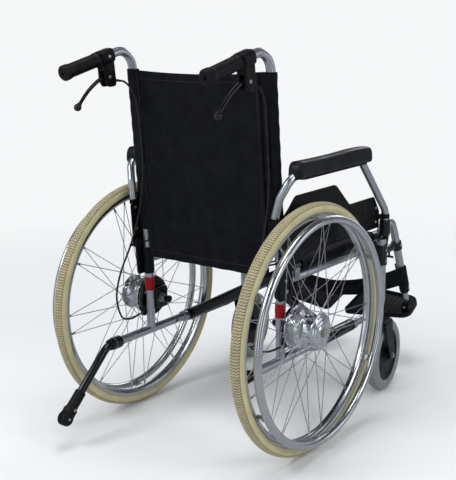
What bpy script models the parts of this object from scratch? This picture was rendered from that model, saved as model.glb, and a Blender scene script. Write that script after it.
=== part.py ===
"""Folding wheelchair with attendant drum brakes, swing-away footrests and flip-back armrests.

Metres, +Z up, the chair faces -Y and its left side is +X. Z is 0 on the ground. Lengths along Y
are written from the rear axle, which stands AXLE_Y behind the origin, so that the origin is under
the middle of the whole chair. Side "R" is at -X and side "L" at +X.
"""

import math

import bmesh
import bpy
from mathutils import Matrix, Vector

# Clearances between pieces
GAP = 0.0003
RUN = 0.0003
CLOTH_SLACK = 0.0006

# Facets: the rails' lie half a step round from the posts', so that a weld joins no two faces in line
ROUND = 12
RAIL_TURN = math.pi / ROUND

# Whole chair
AXLE_Y = 0.17035
FRAME_X = 0.208
TUBE_R = 0.011
RAIL_Z = 0.224
UPPER_RAIL_Z = 0.418
SEAT_Z = 0.446

# Rear wheel
WHEEL_R = 0.305
WHEEL_X = 0.273
WHEEL_STEPS = 36
TYRE_HALF = 0.0185
BEAD_SEAT = 0.0082
RIM_HALF = 0.0125
RIM_WALL = 0.0020
RIM_LIP = 0.0067
RIM_DEPTH = 0.0157
RIM_TAPER = 0.6
RIM_EDGE_R = WHEEL_R - 2 * TYRE_HALF + BEAD_SEAT
RIM_WELL_R = RIM_EDGE_R - RIM_LIP
RIM_INNER_R = RIM_EDGE_R - RIM_DEPTH
PUSH_TUBE_R = 0.0095
PUSH_RIM_OUT = 0.0405
PUSH_DROP = 0.0116
PUSH_RIM_R = RIM_EDGE_R - PUSH_DROP
PUSH_TABS = 6
TAB_DROP = 0.4 * RIM_DEPTH
TAB_R = RIM_EDGE_R - TAB_DROP
TAB_THICK = 0.0040

# Hub, lengths along the axle from the wheel's middle plane, outboard positive
HUB_INNER = -0.0445
HUB_FLANGE_IN = -0.0385
HUB_FLANGE_OUT = 0.0260
HUB_OUTER = 0.0370
FLANGE_IN_R = 0.055
FLANGE_OUT_R = 0.0445
FLANGE_T = 0.003
DRUM_R = 0.0480
DRUM_WALL = 0.0045
DRUM_DEPTH = 0.0265
BARREL_R = 0.033
AXLE_R = 0.006
SPOKES = 36
SPOKE_R = 0.0011
SPOKE_LACING = 2.5

# Brake plate and axle
PLATE_T = 0.0055
PLATE_R = 0.0525
AXLE_INNER = 0.166
KNOB_R = 0.0095
NUT_R = 0.0105
BLOCK_FRONT = -0.024
BLOCK_TALL = 0.056
BARREL_Y = 0.040
BARREL_LEN = 0.018
BARREL_DROP = 0.037
BARREL_R_OUT = 0.0038

# Side frame
REAR_POST_Y = 0.032
FRONT_POST_Y = -0.468
RAIL_REAR_Y = 0.153
POST_TOP_Z = 0.437
FRONT_TOP_Z = 0.466
COLUMN_X = FRAME_X + 2 * TUBE_R + 0.001
COLUMN_Y = -0.417
COLUMN_Z = (0.2125, 0.4400)
COLUMN_RING = 0.0135
WELD = 0.014
CASTING_Z = (0.368, 0.4235)
CASTING_R = 0.0172
SADDLE_LEN = 0.020
SADDLE_YS = (-0.0205, -0.4455)
COLLAR_Z = (WHEEL_R + BLOCK_TALL / 2, WHEEL_R + BLOCK_TALL / 2 + 0.035)
COLLAR_R = 0.0137
BRACKET_OUTLINE = (
    (0.000, COLLAR_Z[1] + 0.010),
    (0.060, COLLAR_Z[1] + 0.010),
    (0.066, 0.478),
    (0.010, 0.478),
)
BRACKET_T = 0.0062

# Cross brace
ARM_W = 0.0280
ARM_T = 0.0160
SLEEVE_R = 0.0160
COLLAR_LEN = 0.016
SLEEVE_YS = (-0.1110, -0.2990)
ARM_A_Y = -0.205
ARM_B_YS = (-0.127, -0.283)
BOLT_R = 0.005
SEAT_TUBE_YS = (-0.008, -0.4505)

# Back, measured from the top of the rear post
BACK_LEAN = 0.0743
BACK_CORNER_Z = 0.963
HANDLE_DROP = 0.243
HANDLE_END_Y = 0.299
HANDLE_BEND_R = 0.045
GRIP_START_Y = 0.190
GRIP_R = 0.0165
GRIP_FLARE_R = 0.0205
HOUSING_Y = 0.163
LEVER_PIVOT = (0.160, BACK_CORNER_Z - 0.070)
LEVER_BALL = (0.258, BACK_CORNER_Z - 0.135)
LEVER_BALL_R = 0.009
CABLE_R = 0.0025
CABLE_LOW = WHEEL_R - BARREL_DROP
CABLE_CLIP_ZS = (BACK_CORNER_Z - 0.173, 0.670)
CABLE_CLIP_YS = tuple(REAR_POST_Y + (z - POST_TOP_Z) * BACK_LEAN + 0.0205 for z in CABLE_CLIP_ZS)
CABLE_ROUTE = (
    (0.2052, HOUSING_Y - 0.0314, LEVER_PIVOT[1] - 0.0092),
    (0.2000, CABLE_CLIP_YS[0] + 0.0263, BACK_CORNER_Z - 0.0860),
    (0.1935, CABLE_CLIP_YS[0] + 0.0073, BACK_CORNER_Z - 0.1180),
    (0.1900, CABLE_CLIP_YS[0], CABLE_CLIP_ZS[0]),
    (0.1895, CABLE_CLIP_YS[1], CABLE_CLIP_ZS[1]),
    (0.1920, 0.0800, 0.5700),
    (0.1960, 0.1080, 0.4800),
    (0.1975, 0.1500, CABLE_LOW + 0.1370),
    (0.1990, 0.1660, CABLE_LOW + 0.0770),
    (0.2050, 0.1450, CABLE_LOW + 0.0200),
    (0.2170, 0.1000, CABLE_LOW),
    (WHEEL_X + HUB_INNER - 0.001 - PLATE_T / 2, BARREL_Y + BARREL_LEN + 0.0014, CABLE_LOW),
)

# Armrest
ARM_X = 0.2405
ARM_TUBE_R = 0.010
PAD_X = (0.232, 0.271)
PAD_Y = (0.042, -0.296)
PAD_OVER_TYRE = 0.065
PAD_Z = 2 * WHEEL_R + PAD_OVER_TYRE
PAD_T = 0.031
GUARD_T = 0.003
FLIP_PIVOT = (0.045, 0.467)
FLIP_PIN_R = 0.004
SOCKET_Y = -0.418
SOCKET_R = 0.0148
SOCKET_Z = (0.450, 0.495)
ARM_BENDS = (
    (ARM_X, SOCKET_Y, 0.5200),
    (ARM_X + 0.0060, -0.2680, PAD_Z - ARM_TUBE_R - GAP),
    (ARM_X + 0.0090, 0.0440, PAD_Z - ARM_TUBE_R - GAP),
    (ARM_X - 0.0115, 0.0640, PAD_Z - 0.0500),
    (ARM_X - 0.0210, 0.0700, PAD_Z - 0.0960),
)
GUARD_OUTLINE = (
    (0.0660, 0.4500),
    (0.0720, 0.5650),
    (0.0300, 0.5960),
    (0.0000, 0.6230),
    (-0.1800, 0.6230),
    (-0.2480, 0.5620),
    (-0.3750, 0.5620),
    (-0.4040, 0.5200),
    (-0.4040, 0.4745),
    (-0.0600, 0.4745),
    (0.0240, 0.4500),
)
GUARD_ROUNDS = (0.008, 0.012, 0.020, 0.020, 0.030, 0.020, 0.010, 0.020, 0.006, 0.030, 0.012)

# Casters
CASTER_R = 0.100
CASTER_HALF = 0.0195
CASTER_RIM_R = 0.072
CASTER_TRAIL = 0.035
CASTER_YAW = 187.5
CASTER_STEPS = 20
FORK_INNER = 0.0235
FORK_T = 0.004
FORK_TOP_Z = COLUMN_Z[0] - 0.001
STEM_R = 0.0065
STEM_LEN = 0.050

# Footrests
HANGER_SLOPE = 21.5
HANGER_TOP = (-0.532, 0.445)
HANGER_COLLAR_Z = (0.4455, 0.4630)
HANGER_COLLAR_R = 0.0155
FOOT_SLEEVE_R = 0.0145
FOOT_SLEEVE_Z = (0.242, 0.314)
FOOT_TUBE_R = 0.0085
FOOT_PIN_R = 0.004
FOOT_PIN_Z = 0.1975
LATCH_Z = 0.392
HOOK_BENDS = (
    (0.04088, -0.0060),
    (0.04488, -0.0180),
    (0.03788, -0.0260),
)
PLATE_TILT = 17.0
PLATE_HEEL = (-0.570, 0.151)
PLATE_THICK = 0.015
PLATE_X = (0.0265, 0.2275)

# Soft parts
CLOTH_T = 0.003
SLING_YS = (-0.045, -0.398)
BACK_ZS = (0.430, BACK_CORNER_Z - 0.055)
BACK_SLEEVE_Z = 0.500
STRAP_T = 0.003
STRAP_Z = 0.280
STRAP_HALF = (0.036, 0.023)
STRAP_BELLY = 0.052
STRAP_SAG = 0.040
SEAT_SAG = 0.014

# Anti-tipper
TIP_TUBE_R = 0.0105
TIP_ROOT_Y = 0.1535


def at(x, y, z):
    """A point whose y is measured from the rear axle."""
    return Vector((x, AXLE_Y + y, z))


def new_collection(name, hidden=False):
    found = bpy.data.collections.new(name)
    bpy.context.scene.collection.children.link(found)
    found.hide_render = hidden
    return found


def material(name, color, metallic, roughness):
    made = bpy.data.materials.new(name)
    made.use_nodes = True
    shader = made.node_tree.nodes["Principled BSDF"]
    shader.inputs["Base Color"].default_value = (*color, 1)
    shader.inputs["Metallic"].default_value = metallic
    shader.inputs["Roughness"].default_value = roughness
    return made


def outward(mesh):
    """Merges the seams of a mesh and turns its faces out."""
    work = bmesh.new()
    work.from_mesh(mesh)
    bmesh.ops.remove_doubles(work, verts=work.verts, dist=1e-6)
    bmesh.ops.recalc_face_normals(work, faces=work.faces)
    work.to_mesh(mesh)
    work.free()
    return mesh


def meshed(obj):
    """The evaluated mesh of a curve or of an object with modifiers, with its maker removed."""
    bpy.context.scene.collection.objects.link(obj)
    bpy.context.view_layer.update()
    graph = bpy.context.evaluated_depsgraph_get()
    mesh = bpy.data.meshes.new_from_object(obj.evaluated_get(graph))
    mesh.transform(obj.matrix_world)
    source = obj.data
    bpy.data.objects.remove(obj)
    if isinstance(source, bpy.types.Curve):
        bpy.data.curves.remove(source)
    else:
        bpy.data.meshes.remove(source)
    return outward(mesh)


def from_bmesh(work):
    mesh = bpy.data.meshes.new("shape")
    work.to_mesh(mesh)
    work.free()
    return outward(mesh)


def rod(start, end, radius, sides=16, end_radius=None, turn=0.0):
    """A round bar, or a cone where end_radius is given, between two points."""
    start = Vector(start)
    along = Vector(end) - start
    work = bmesh.new()
    bmesh.ops.create_cone(
        work,
        cap_ends=True,
        segments=sides,
        radius1=radius,
        radius2=radius if end_radius is None else end_radius,
        depth=along.length,
    )
    place = Matrix.Translation(start + along / 2)
    place @= along.to_track_quat("Z", "Y").to_matrix().to_4x4() @ Matrix.Rotation(turn, 4, "Z")
    bmesh.ops.transform(work, matrix=place, verts=work.verts)
    return from_bmesh(work)


def bore_radius(radius, clearance, sides):
    """The radius of a round cutter whose flats clear a bar, however the bar's flats are turned."""
    return (radius + clearance) / math.cos(math.pi / sides)


def ball(center, radius, sides=12, rings=8):
    work = bmesh.new()
    bmesh.ops.create_uvsphere(work, u_segments=sides, v_segments=rings, radius=radius)
    bmesh.ops.translate(work, vec=center, verts=work.verts)
    return from_bmesh(work)


def box(center, size, frame=None):
    """A block; frame turns it about its own middle."""
    work = bmesh.new()
    bmesh.ops.create_cube(work, size=1.0)
    place = Matrix.Translation(center)
    if frame is not None:
        place @= frame.to_4x4()
    bmesh.ops.transform(work, matrix=place @ Matrix.Diagonal((*size, 1)), verts=work.verts)
    return from_bmesh(work)


def bevelled(mesh, width, segments=2):
    obj = bpy.data.objects.new("shape", mesh)
    cut = obj.modifiers.new("edges", "BEVEL")
    cut.width = width
    cut.segments = segments
    cut.limit_method = "ANGLE"
    return meshed(obj)


def rounded(corners, radius, steps=4):
    """The corners joined by straight runs, each inner corner replaced by an arc."""
    path = [Vector(corners[0])]
    for before, corner, after in zip(corners, corners[1:], corners[2:]):
        corner = Vector(corner)
        back = (Vector(before) - corner).normalized()
        ahead = (Vector(after) - corner).normalized()
        half = back.angle(ahead) / 2
        reach = min(
            radius / math.tan(half),
            0.48 * (Vector(before) - corner).length,
            0.48 * (Vector(after) - corner).length,
        )
        arc_r = reach * math.tan(half)
        middle = corner + (back + ahead).normalized() * (arc_r / math.sin(half))
        first = (corner + back * reach - middle).normalized()
        last = (corner + ahead * reach - middle).normalized()
        for step in range(steps + 1):
            path.append(middle + first.slerp(last, step / steps) * arc_r)
    path.append(Vector(corners[-1]))
    return path


def tube(path, radius, sides=12, widths=None):
    """A round bar along a path; widths scale the radius at each point."""
    data = bpy.data.curves.new("path", "CURVE")
    data.dimensions = "3D"
    data.bevel_depth = radius
    data.bevel_resolution = (sides - 4) // 2
    data.use_fill_caps = True
    spline = data.splines.new("POLY")
    spline.points.add(len(path) - 1)
    for index, place in enumerate(path):
        spline.points[index].co = (*place, 1)
        spline.points[index].radius = widths[index] if widths else 1.0
    return meshed(bpy.data.objects.new("path", data))


def smooth_path(points, count):
    """Points at even steps along a smooth curve that passes through the given ones."""
    points = [Vector(p) for p in points]
    ends = [2 * points[0] - points[1], *points, 2 * points[-1] - points[-2]]
    path = []
    for a, b, c, d in zip(ends, ends[1:], ends[2:], ends[3:]):
        for step in range(count):
            t = step / count
            path.append(
                0.5
                * (
                    2 * b
                    + (c - a) * t
                    + (2 * a - 5 * b + 4 * c - d) * t**2
                    + (3 * b - a - 3 * c + d) * t**3
                )
            )
    path.append(points[-1])
    return path


def plate(outline, thickness, frame, holes=()):
    """A flat outline in the frame's first two axes, thickened both ways along its third."""
    data = bpy.data.curves.new("outline", "CURVE")
    data.dimensions = "2D"
    data.fill_mode = "BOTH"
    data.extrude = thickness / 2
    for loop in (outline, *holes):
        spline = data.splines.new("POLY")
        spline.points.add(len(loop) - 1)
        for point, (u, v) in zip(spline.points, loop):
            point.co = (u, v, 0, 1)
        spline.use_cyclic_u = True
    obj = bpy.data.objects.new("outline", data)
    obj.matrix_world = frame
    return meshed(obj)


def flat_rounded(corners, radii, steps=4):
    """A closed flat outline with each corner rounded to its own radius."""
    outline = []
    count = len(corners)
    for index in range(count):
        before = Vector((*corners[index - 1], 0))
        corner = Vector((*corners[index], 0))
        after = Vector((*corners[(index + 1) % count], 0))
        if radii[index] <= 0:
            outline.append((corner.x, corner.y))
            continue
        arc = rounded([before, corner, after], radii[index], steps)
        outline += [(p.x, p.y) for p in arc[1:-1]]
    return outline


def axes(origin, first, second):
    """A frame whose first two axes are given."""
    first = Vector(first).normalized()
    third = first.cross(Vector(second)).normalized()
    second = third.cross(first)
    frame = Matrix((first, second, third)).transposed().to_4x4()
    frame.translation = origin
    return frame


def lathe(profile, frame, steps):
    """A closed profile of (length along the axis, radius) turned about the frame's third axis."""
    mesh = bpy.data.meshes.new("profile")
    points = [(radius, 0, along) for along, radius in profile]
    edges = [(i, (i + 1) % len(points)) for i in range(len(points))]
    mesh.from_pydata(points, edges, [])
    obj = bpy.data.objects.new("profile", mesh)
    turned = obj.modifiers.new("turn", "SCREW")
    turned.steps = steps
    turned.render_steps = steps
    turned.use_merge_vertices = True
    turned.merge_threshold = 1e-5
    obj.matrix_world = frame
    return meshed(obj)


def axis_frame(origin, direction):
    """A frame whose third axis runs in the direction, and whose first stays level."""
    direction = Vector(direction).normalized()
    side = Vector((0, 0, 1)).cross(direction)
    if side.length < 1e-6:
        side = Vector((1, 0, 0))
    side.normalize()
    return axes(origin, side, direction.cross(side))


def sheet(surface, across, along, thickness):
    """A closed cloth: a grid shaped by surface(u, v), thickened both ways."""
    work = bmesh.new()
    bmesh.ops.create_grid(work, x_segments=across, y_segments=along, size=0.5)
    for vert in work.verts:
        vert.co = surface(vert.co.x + 0.5, vert.co.y + 0.5)
    mesh = bpy.data.meshes.new("cloth")
    work.to_mesh(mesh)
    work.free()
    obj = bpy.data.objects.new("cloth", mesh)
    thick = obj.modifiers.new("thickness", "SOLIDIFY")
    thick.thickness = thickness
    thick.offset = 0
    thick.use_even_offset = True
    return meshed(obj)


class Builder:
    """Makes the nodes, their materials, their joint empties and their cutters."""

    def __init__(self):
        self.parts = new_collection("wheelchair")
        self.cutters = new_collection("cutters", hidden=True)
        self.looks = {}

    def look(self, name, color, metallic, roughness):
        self.looks[name] = (color, metallic, roughness)

    def helper(self, name, mesh):
        obj = bpy.data.objects.new(name, mesh)
        obj.hide_render = True
        obj.display_type = "WIRE"
        self.cutters.objects.link(obj)
        return obj

    def node(self, name, look, shapes, cuts=(), origin=(0, 0, 0), parent=None, smooth=40):
        """One named solid: the shapes joined, the cuts taken away."""
        mesh = shapes[0]
        mesh.name = name
        mesh.transform(Matrix.Translation(-Vector(origin)))
        obj = bpy.data.objects.new(name, mesh)
        obj.location = origin
        self.parts.objects.link(obj)
        for kind, extra in (("UNION", shapes[1:]), ("DIFFERENCE", cuts)):
            for index, other in enumerate(extra):
                change = obj.modifiers.new(f"{kind.lower()}_{index}", "BOOLEAN")
                change.operation = kind
                change.solver = "EXACT"
                change.object = self.helper(f"{name}_{kind.lower()}_{index}", other)
        mesh.materials.append(material(name, *self.looks[look]))
        mesh.shade_smooth()
        mesh.set_sharp_from_angle(angle=math.radians(smooth))
        if parent:
            obj.parent = parent
            obj.matrix_parent_inverse = parent_place(parent).inverted()
        return obj

    def joint(self, name, place, parent=None):
        """An empty on a joint's axis, which carries the pieces that turn there."""
        empty = bpy.data.objects.new(name, None)
        empty.empty_display_size = 0.03
        empty.location = place
        self.parts.objects.link(empty)
        if parent:
            empty.parent = parent
            empty.matrix_parent_inverse = parent_place(parent).inverted()
        return empty


def parent_place(empty):
    """The world matrix of an empty that is only moved, never turned."""
    return Matrix.Translation(empty.location)


def frame_line(z):
    """The y of the leaning back tube at a height."""
    return REAR_POST_Y + (z - POST_TOP_Z) * BACK_LEAN


def handle_line(y):
    """The height of the push handle's middle at a y."""
    corner_y = frame_line(BACK_CORNER_Z)
    return BACK_CORNER_Z - (y - corner_y) * HANDLE_DROP


def hanger_line(z):
    """The y of the hanger's middle at a height."""
    return HANGER_TOP[0] - (HANGER_TOP[1] - z) * math.tan(math.radians(HANGER_SLOPE))


def rim_side(radius):
    """Half the rim's width at a radius."""
    rise = (radius - RIM_INNER_R) / (RIM_EDGE_R - RIM_INNER_R)
    return RIM_HALF * (RIM_TAPER + (1 - RIM_TAPER) * rise)


def wheel_parts(make, side, s, frame_joint):
    """Tyre, rim, hub with its spokes, and push rim: one body that spins on the axle."""
    center = at(s * WHEEL_X, 0, WHEEL_R)
    spin = make.joint(f"wheel_spin_{side}", center, frame_joint)
    frame = axis_frame(center, (s, 0, 0))
    mid_r = WHEEL_R - TYRE_HALF
    lip = RIM_HALF - RIM_WALL - GAP
    tyre = [(-lip, RIM_WELL_R + GAP), (-lip, RIM_EDGE_R + GAP)]
    for step in range(7):
        turn = math.radians(-114 + 38 * step)
        tyre.append((TYRE_HALF * math.sin(turn), mid_r + TYRE_HALF * math.cos(turn)))
    tyre += [(lip, RIM_EDGE_R + GAP), (lip, RIM_WELL_R + GAP)]
    make.node(f"tyre_{side}", "tyre", [lathe(tyre, frame, WHEEL_STEPS)], origin=center, parent=spin)
    inside = RIM_HALF - RIM_WALL
    rim = [
        (-RIM_HALF, RIM_EDGE_R),
        (-inside, RIM_EDGE_R),
        (-inside, RIM_WELL_R),
        (inside, RIM_WELL_R),
        (inside, RIM_EDGE_R),
        (RIM_HALF, RIM_EDGE_R),
        (RIM_HALF * RIM_TAPER, RIM_INNER_R),
        (-RIM_HALF * RIM_TAPER, RIM_INNER_R),
    ]
    make.node(f"rim_{side}", "silver", [lathe(rim, frame, WHEEL_STEPS)], origin=center, parent=spin)
    make.node(
        f"hub_{side}",
        "bright",
        [hub_shape(frame), spoke_shape(frame)],
        origin=center,
        parent=spin,
    )
    ring = []
    for step in range(8):
        turn = math.radians(22.5 + 45 * step)
        ring.append(
            (PUSH_RIM_OUT + PUSH_TUBE_R * math.cos(turn), PUSH_RIM_R + PUSH_TUBE_R * math.sin(turn))
        )
    shapes = [lathe(ring, frame, WHEEL_STEPS)]
    tabs = []
    for index in range(PUSH_TABS):
        turn = 2 * math.pi * (index + 0.5) / PUSH_TABS
        out = frame.to_3x3() @ Vector((math.cos(turn), math.sin(turn), 0))
        axis = Vector((s, 0, 0))
        start = center + out * TAB_R + axis * (rim_side(TAB_R) + 2 * GAP)
        end = center + out * PUSH_RIM_R + axis * PUSH_RIM_OUT
        tabs.append(rod(start, end, TAB_THICK, 6))
    shapes.append(merged(tabs))
    make.node(f"push_rim_{side}", "silver", shapes, origin=center, parent=spin)


def merged(meshes):
    """Several separate shapes in one mesh."""
    work = bmesh.new()
    for mesh in meshes:
        work.from_mesh(mesh)
        bpy.data.meshes.remove(mesh)
    return from_bmesh(work)


def hub_shape(frame):
    bore = AXLE_R + RUN
    floor = HUB_INNER + DRUM_DEPTH
    taper = floor + 0.008
    return lathe(
        [
            (HUB_INNER, DRUM_R),
            (HUB_FLANGE_IN - FLANGE_T / 2, DRUM_R),
            (HUB_FLANGE_IN - FLANGE_T / 2, FLANGE_IN_R),
            (HUB_FLANGE_IN + FLANGE_T / 2, FLANGE_IN_R),
            (HUB_FLANGE_IN + FLANGE_T / 2, DRUM_R),
            (floor, DRUM_R),
            (taper, BARREL_R),
            (HUB_FLANGE_OUT - FLANGE_T / 2, BARREL_R),
            (HUB_FLANGE_OUT - FLANGE_T / 2, FLANGE_OUT_R),
            (HUB_FLANGE_OUT + FLANGE_T / 2, FLANGE_OUT_R),
            (HUB_FLANGE_OUT + FLANGE_T / 2, BARREL_R * 0.95),
            (HUB_OUTER - 0.004, BARREL_R * 0.75),
            (HUB_OUTER, BARREL_R * 0.42),
            (HUB_OUTER, bore),
            (floor, bore),
            (floor, DRUM_R - DRUM_WALL),
            (HUB_INNER, DRUM_R - DRUM_WALL),
        ],
        frame,
        16,
    )


def spoke_shape(frame):
    """Crossed spokes: each leaves its flange on one face or the other and leans by the lacing."""
    rods = []
    half = SPOKES // 2
    reach = RIM_INNER_R - GAP - SPOKE_R * 0.3
    for index in range(SPOKES):
        inner = index % 2 == 0
        rank = index // 2
        flange_x = HUB_FLANGE_IN if inner else HUB_FLANGE_OUT
        flange_r = (FLANGE_IN_R if inner else FLANGE_OUT_R) - 0.0035
        lean = 1 if rank % 2 else -1
        pitch = 2 * math.pi / half
        hub_turn = pitch * rank + (0 if inner else pitch / 2)
        rim_turn = hub_turn + lean * pitch * SPOKE_LACING
        face = FLANGE_T / 2 + SPOKE_R * 0.4
        root = Vector((math.cos(hub_turn), math.sin(hub_turn), 0)) * flange_r
        root.z = flange_x + lean * face
        tip = Vector((math.cos(rim_turn), math.sin(rim_turn), 0)) * reach
        tip.z = -0.0025 if inner else 0.0025
        rods.append(rod(frame @ root, frame @ tip, SPOKE_R, 4))
    return merged(rods)


def axle_parts(make, side, s, frame_joint):
    """The brake's back plate with the axle block, and the axle with its nuts and knob."""
    axis = Vector((s, 0, 0))
    plate_out = WHEEL_X + HUB_INNER - 0.001
    plate_in = plate_out - PLATE_T
    bore = AXLE_R + GAP
    frame = axis_frame(at(0, 0, WHEEL_R), axis)
    disc = lathe(
        [
            (plate_in, AXLE_R / 2),
            (plate_in, PLATE_R - 0.006),
            (plate_in + 0.002, PLATE_R),
            (plate_out, PLATE_R),
            (plate_out, AXLE_R / 2),
        ],
        frame,
        20,
    )
    block_in = FRAME_X - TUBE_R - 0.001
    rear = REAR_POST_Y - TUBE_R - GAP
    middle = ((block_in + plate_in) / 2 + 0.0005) * s
    block = box(
        at(middle, (BLOCK_FRONT + rear) / 2, WHEEL_R),
        (plate_in - block_in + 0.001, rear - BLOCK_FRONT, BLOCK_TALL),
    )
    hole = rod(at(s * AXLE_INNER, 0, WHEEL_R), at(s * WHEEL_X, 0, WHEEL_R), bore, 16)
    barrel_at = at(s * (plate_in + PLATE_T / 2), BARREL_Y, WHEEL_R - BARREL_DROP)
    lug = box(barrel_at - Vector((0, 0.004, 0)), (PLATE_T, 0.022, 0.014))
    barrel = rod(barrel_at, barrel_at + Vector((0, BARREL_LEN, 0)), BARREL_R_OUT, 8)
    make.node(
        f"brake_plate_{side}",
        "black",
        [disc, bevelled(block, 0.004), lug, barrel],
        [hole],
        origin=at(s * plate_in, 0, WHEEL_R),
        parent=frame_joint,
    )
    outer = WHEEL_X + HUB_OUTER
    shaft_in = at(s * (AXLE_INNER + 0.010), 0, WHEEL_R)
    shaft = rod(shaft_in, at(s * (outer + 0.005), 0, WHEEL_R), AXLE_R, 16)
    nut_x = block_in - GAP
    shapes = [
        shaft,
        rod(at(s * (nut_x - 0.0080), 0, WHEEL_R), at(s * nut_x, 0, WHEEL_R), NUT_R, 6),
        rod(at(s * AXLE_INNER, 0, WHEEL_R), at(s * (AXLE_INNER + 0.017), 0, WHEEL_R), KNOB_R, 12),
        rod(at(s * (outer + GAP), 0, WHEEL_R), at(s * (outer + 0.006), 0, WHEEL_R), 0.0095, 6),
    ]
    make.node(f"axle_{side}", "bright", shapes, origin=at(0, 0, WHEEL_R), parent=frame_joint)


def side_frame(make, side, s, frame_joint):
    """Bottom rail, upper rail, rear post, front post and seat saddles, welded in one."""
    x = s * FRAME_X
    rail_front = FRONT_POST_Y
    shapes = [
        rod(
            at(x, RAIL_REAR_Y, RAIL_Z),
            at(x, rail_front, RAIL_Z),
            TUBE_R,
            ROUND,
            turn=RAIL_TURN,
        ),
        rod(at(x, REAR_POST_Y, RAIL_Z), at(x, REAR_POST_Y, POST_TOP_Z), TUBE_R, ROUND),
        rod(
            at(x, REAR_POST_Y, UPPER_RAIL_Z),
            at(x, rail_front, UPPER_RAIL_Z),
            TUBE_R,
            ROUND,
            turn=RAIL_TURN,
        ),
        rod(at(x, rail_front, RAIL_Z), at(x, rail_front, FRONT_TOP_Z), TUBE_R, ROUND),
    ]
    column_x = s * COLUMN_X
    low, high = (at(column_x, COLUMN_Y, z) for z in COLUMN_Z)
    shapes.append(rod(low, high, TUBE_R, ROUND))
    shapes.append(rod(high - Vector((0, 0, COLUMN_RING)), high, TUBE_R + 0.0028, ROUND))
    for z in (RAIL_Z, UPPER_RAIL_Z):
        middle = at((x + column_x) / 2, COLUMN_Y, z)
        shapes.append(box(middle, (COLUMN_X - FRAME_X, WELD, WELD)))
    for end in (SLEEVE_YS[0] + GAP + COLLAR_LEN, SLEEVE_YS[1] - GAP):
        ring_ends = (at(x, end, RAIL_Z), at(x, end - COLLAR_LEN, RAIL_Z))
        shapes.append(rod(*ring_ends, SLEEVE_R - 0.001, 16))
    saddle_z = (UPPER_RAIL_Z, SEAT_Z - 0.002)
    for y in SADDLE_YS:
        shapes.append(
            box(
                at(x, y, sum(saddle_z) / 2),
                (2 * TUBE_R + 0.008, SADDLE_LEN, saddle_z[1] - saddle_z[0]),
            )
        )
    groove = rod(at(x, 0.02, SEAT_Z), at(x, FRONT_POST_Y + TUBE_R + 0.001, SEAT_Z), TUBE_R + GAP, ROUND)
    bore = rod(
        low - Vector((0, 0, 0.01)),
        low + Vector((0, 0, STEM_LEN + 0.004)),
        bore_radius(STEM_R, RUN, ROUND),
        ROUND,
    )
    make.node(
        f"side_frame_{side}",
        "silver",
        shapes,
        [groove, bore],
        origin=at(x, 0, RAIL_Z),
        parent=frame_joint,
    )
    ring = lathe(
        [
            (COLLAR_Z[0], TUBE_R + GAP),
            (COLLAR_Z[0], COLLAR_R),
            (COLLAR_Z[1], COLLAR_R),
            (COLLAR_Z[1], TUBE_R + GAP),
        ],
        axes(at(x, REAR_POST_Y, 0), (1, 0, 0), (0, 1, 0)),
        ROUND,
    )
    ring_foot = at(x, REAR_POST_Y, COLLAR_Z[0])
    make.node(f"post_ring_{side}", "red", [ring], origin=ring_foot, parent=frame_joint)
    bracket_in = FRAME_X + TUBE_R + GAP
    outline = flat_rounded(BRACKET_OUTLINE, [0.008, 0.008, 0.012, 0.012])
    frame = axes(at(s * (bracket_in + BRACKET_T / 2), 0, 0), (0, 1, 0), (0, 0, 1))
    pin_end = bracket_in + BRACKET_T + GUARD_T + 0.0035
    pin = rod(
        at(s * (bracket_in + 0.002), *FLIP_PIVOT),
        at(s * pin_end, *FLIP_PIVOT),
        FLIP_PIN_R,
        ROUND,
    )
    screw_in = at(s * (bracket_in + 0.002), 0.030, BRACKET_OUTLINE[0][1] + 0.020)
    screw = rod(screw_in, screw_in + Vector((s * BRACKET_T, 0, 0)), 0.005, 8)
    make.node(
        f"rear_bracket_{side}",
        "black",
        [plate(outline, BRACKET_T, frame), pin, screw],
        origin=at(s * bracket_in, *FLIP_PIVOT),
        parent=frame_joint,
    )


def front_bracket(make, side, s, frame_joint):
    """The black casting on the caster column that also holds the armrest's socket."""
    column = at(s * COLUMN_X, COLUMN_Y, 0)
    up = Vector((0, 0, 1))
    clear = TUBE_R + GAP
    block = rod(column + up * CASTING_Z[0], column + up * CASTING_Z[1], CASTING_R, 16)
    web_y = COLUMN_Y - TUBE_R - 0.0028 - GAP - 0.0042
    web = rod(
        at(s * COLUMN_X, web_y, CASTING_Z[1] - 0.012),
        at(s * (COLUMN_X + ARM_X) / 2, web_y, SOCKET_Z[0] + 0.014),
        0.0042,
        8,
    )
    socket_low, socket_high = (at(s * ARM_X, SOCKET_Y, z) for z in SOCKET_Z)
    socket = rod(socket_low, socket_high, SOCKET_R, 16)
    weld = WELD + 2 * GAP
    weld_x = s * (FRAME_X + COLUMN_X) / 2
    cuts = [
        rod(column + up * 0.35, column + up * SOCKET_Z[0] - up * 0.001, clear, ROUND),
        rod(
            at(s * FRAME_X, COLUMN_Y - 0.04, UPPER_RAIL_Z),
            at(s * FRAME_X, COLUMN_Y + 0.04, UPPER_RAIL_Z),
            clear,
            ROUND,
            turn=RAIL_TURN,
        ),
        box(at(weld_x, COLUMN_Y, UPPER_RAIL_Z + 0.006), (COLUMN_X - FRAME_X, weld, weld + 0.012)),
        rod(
            socket_low + up * 0.006,
            socket_high + up * 0.010,
            bore_radius(ARM_TUBE_R, 2 * GAP, ROUND),
            ROUND,
        ),
    ]
    make.node(
        f"front_bracket_{side}",
        "black",
        [block, web, socket],
        cuts,
        origin=column + up * CASTING_Z[0],
        parent=frame_joint,
    )


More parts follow.
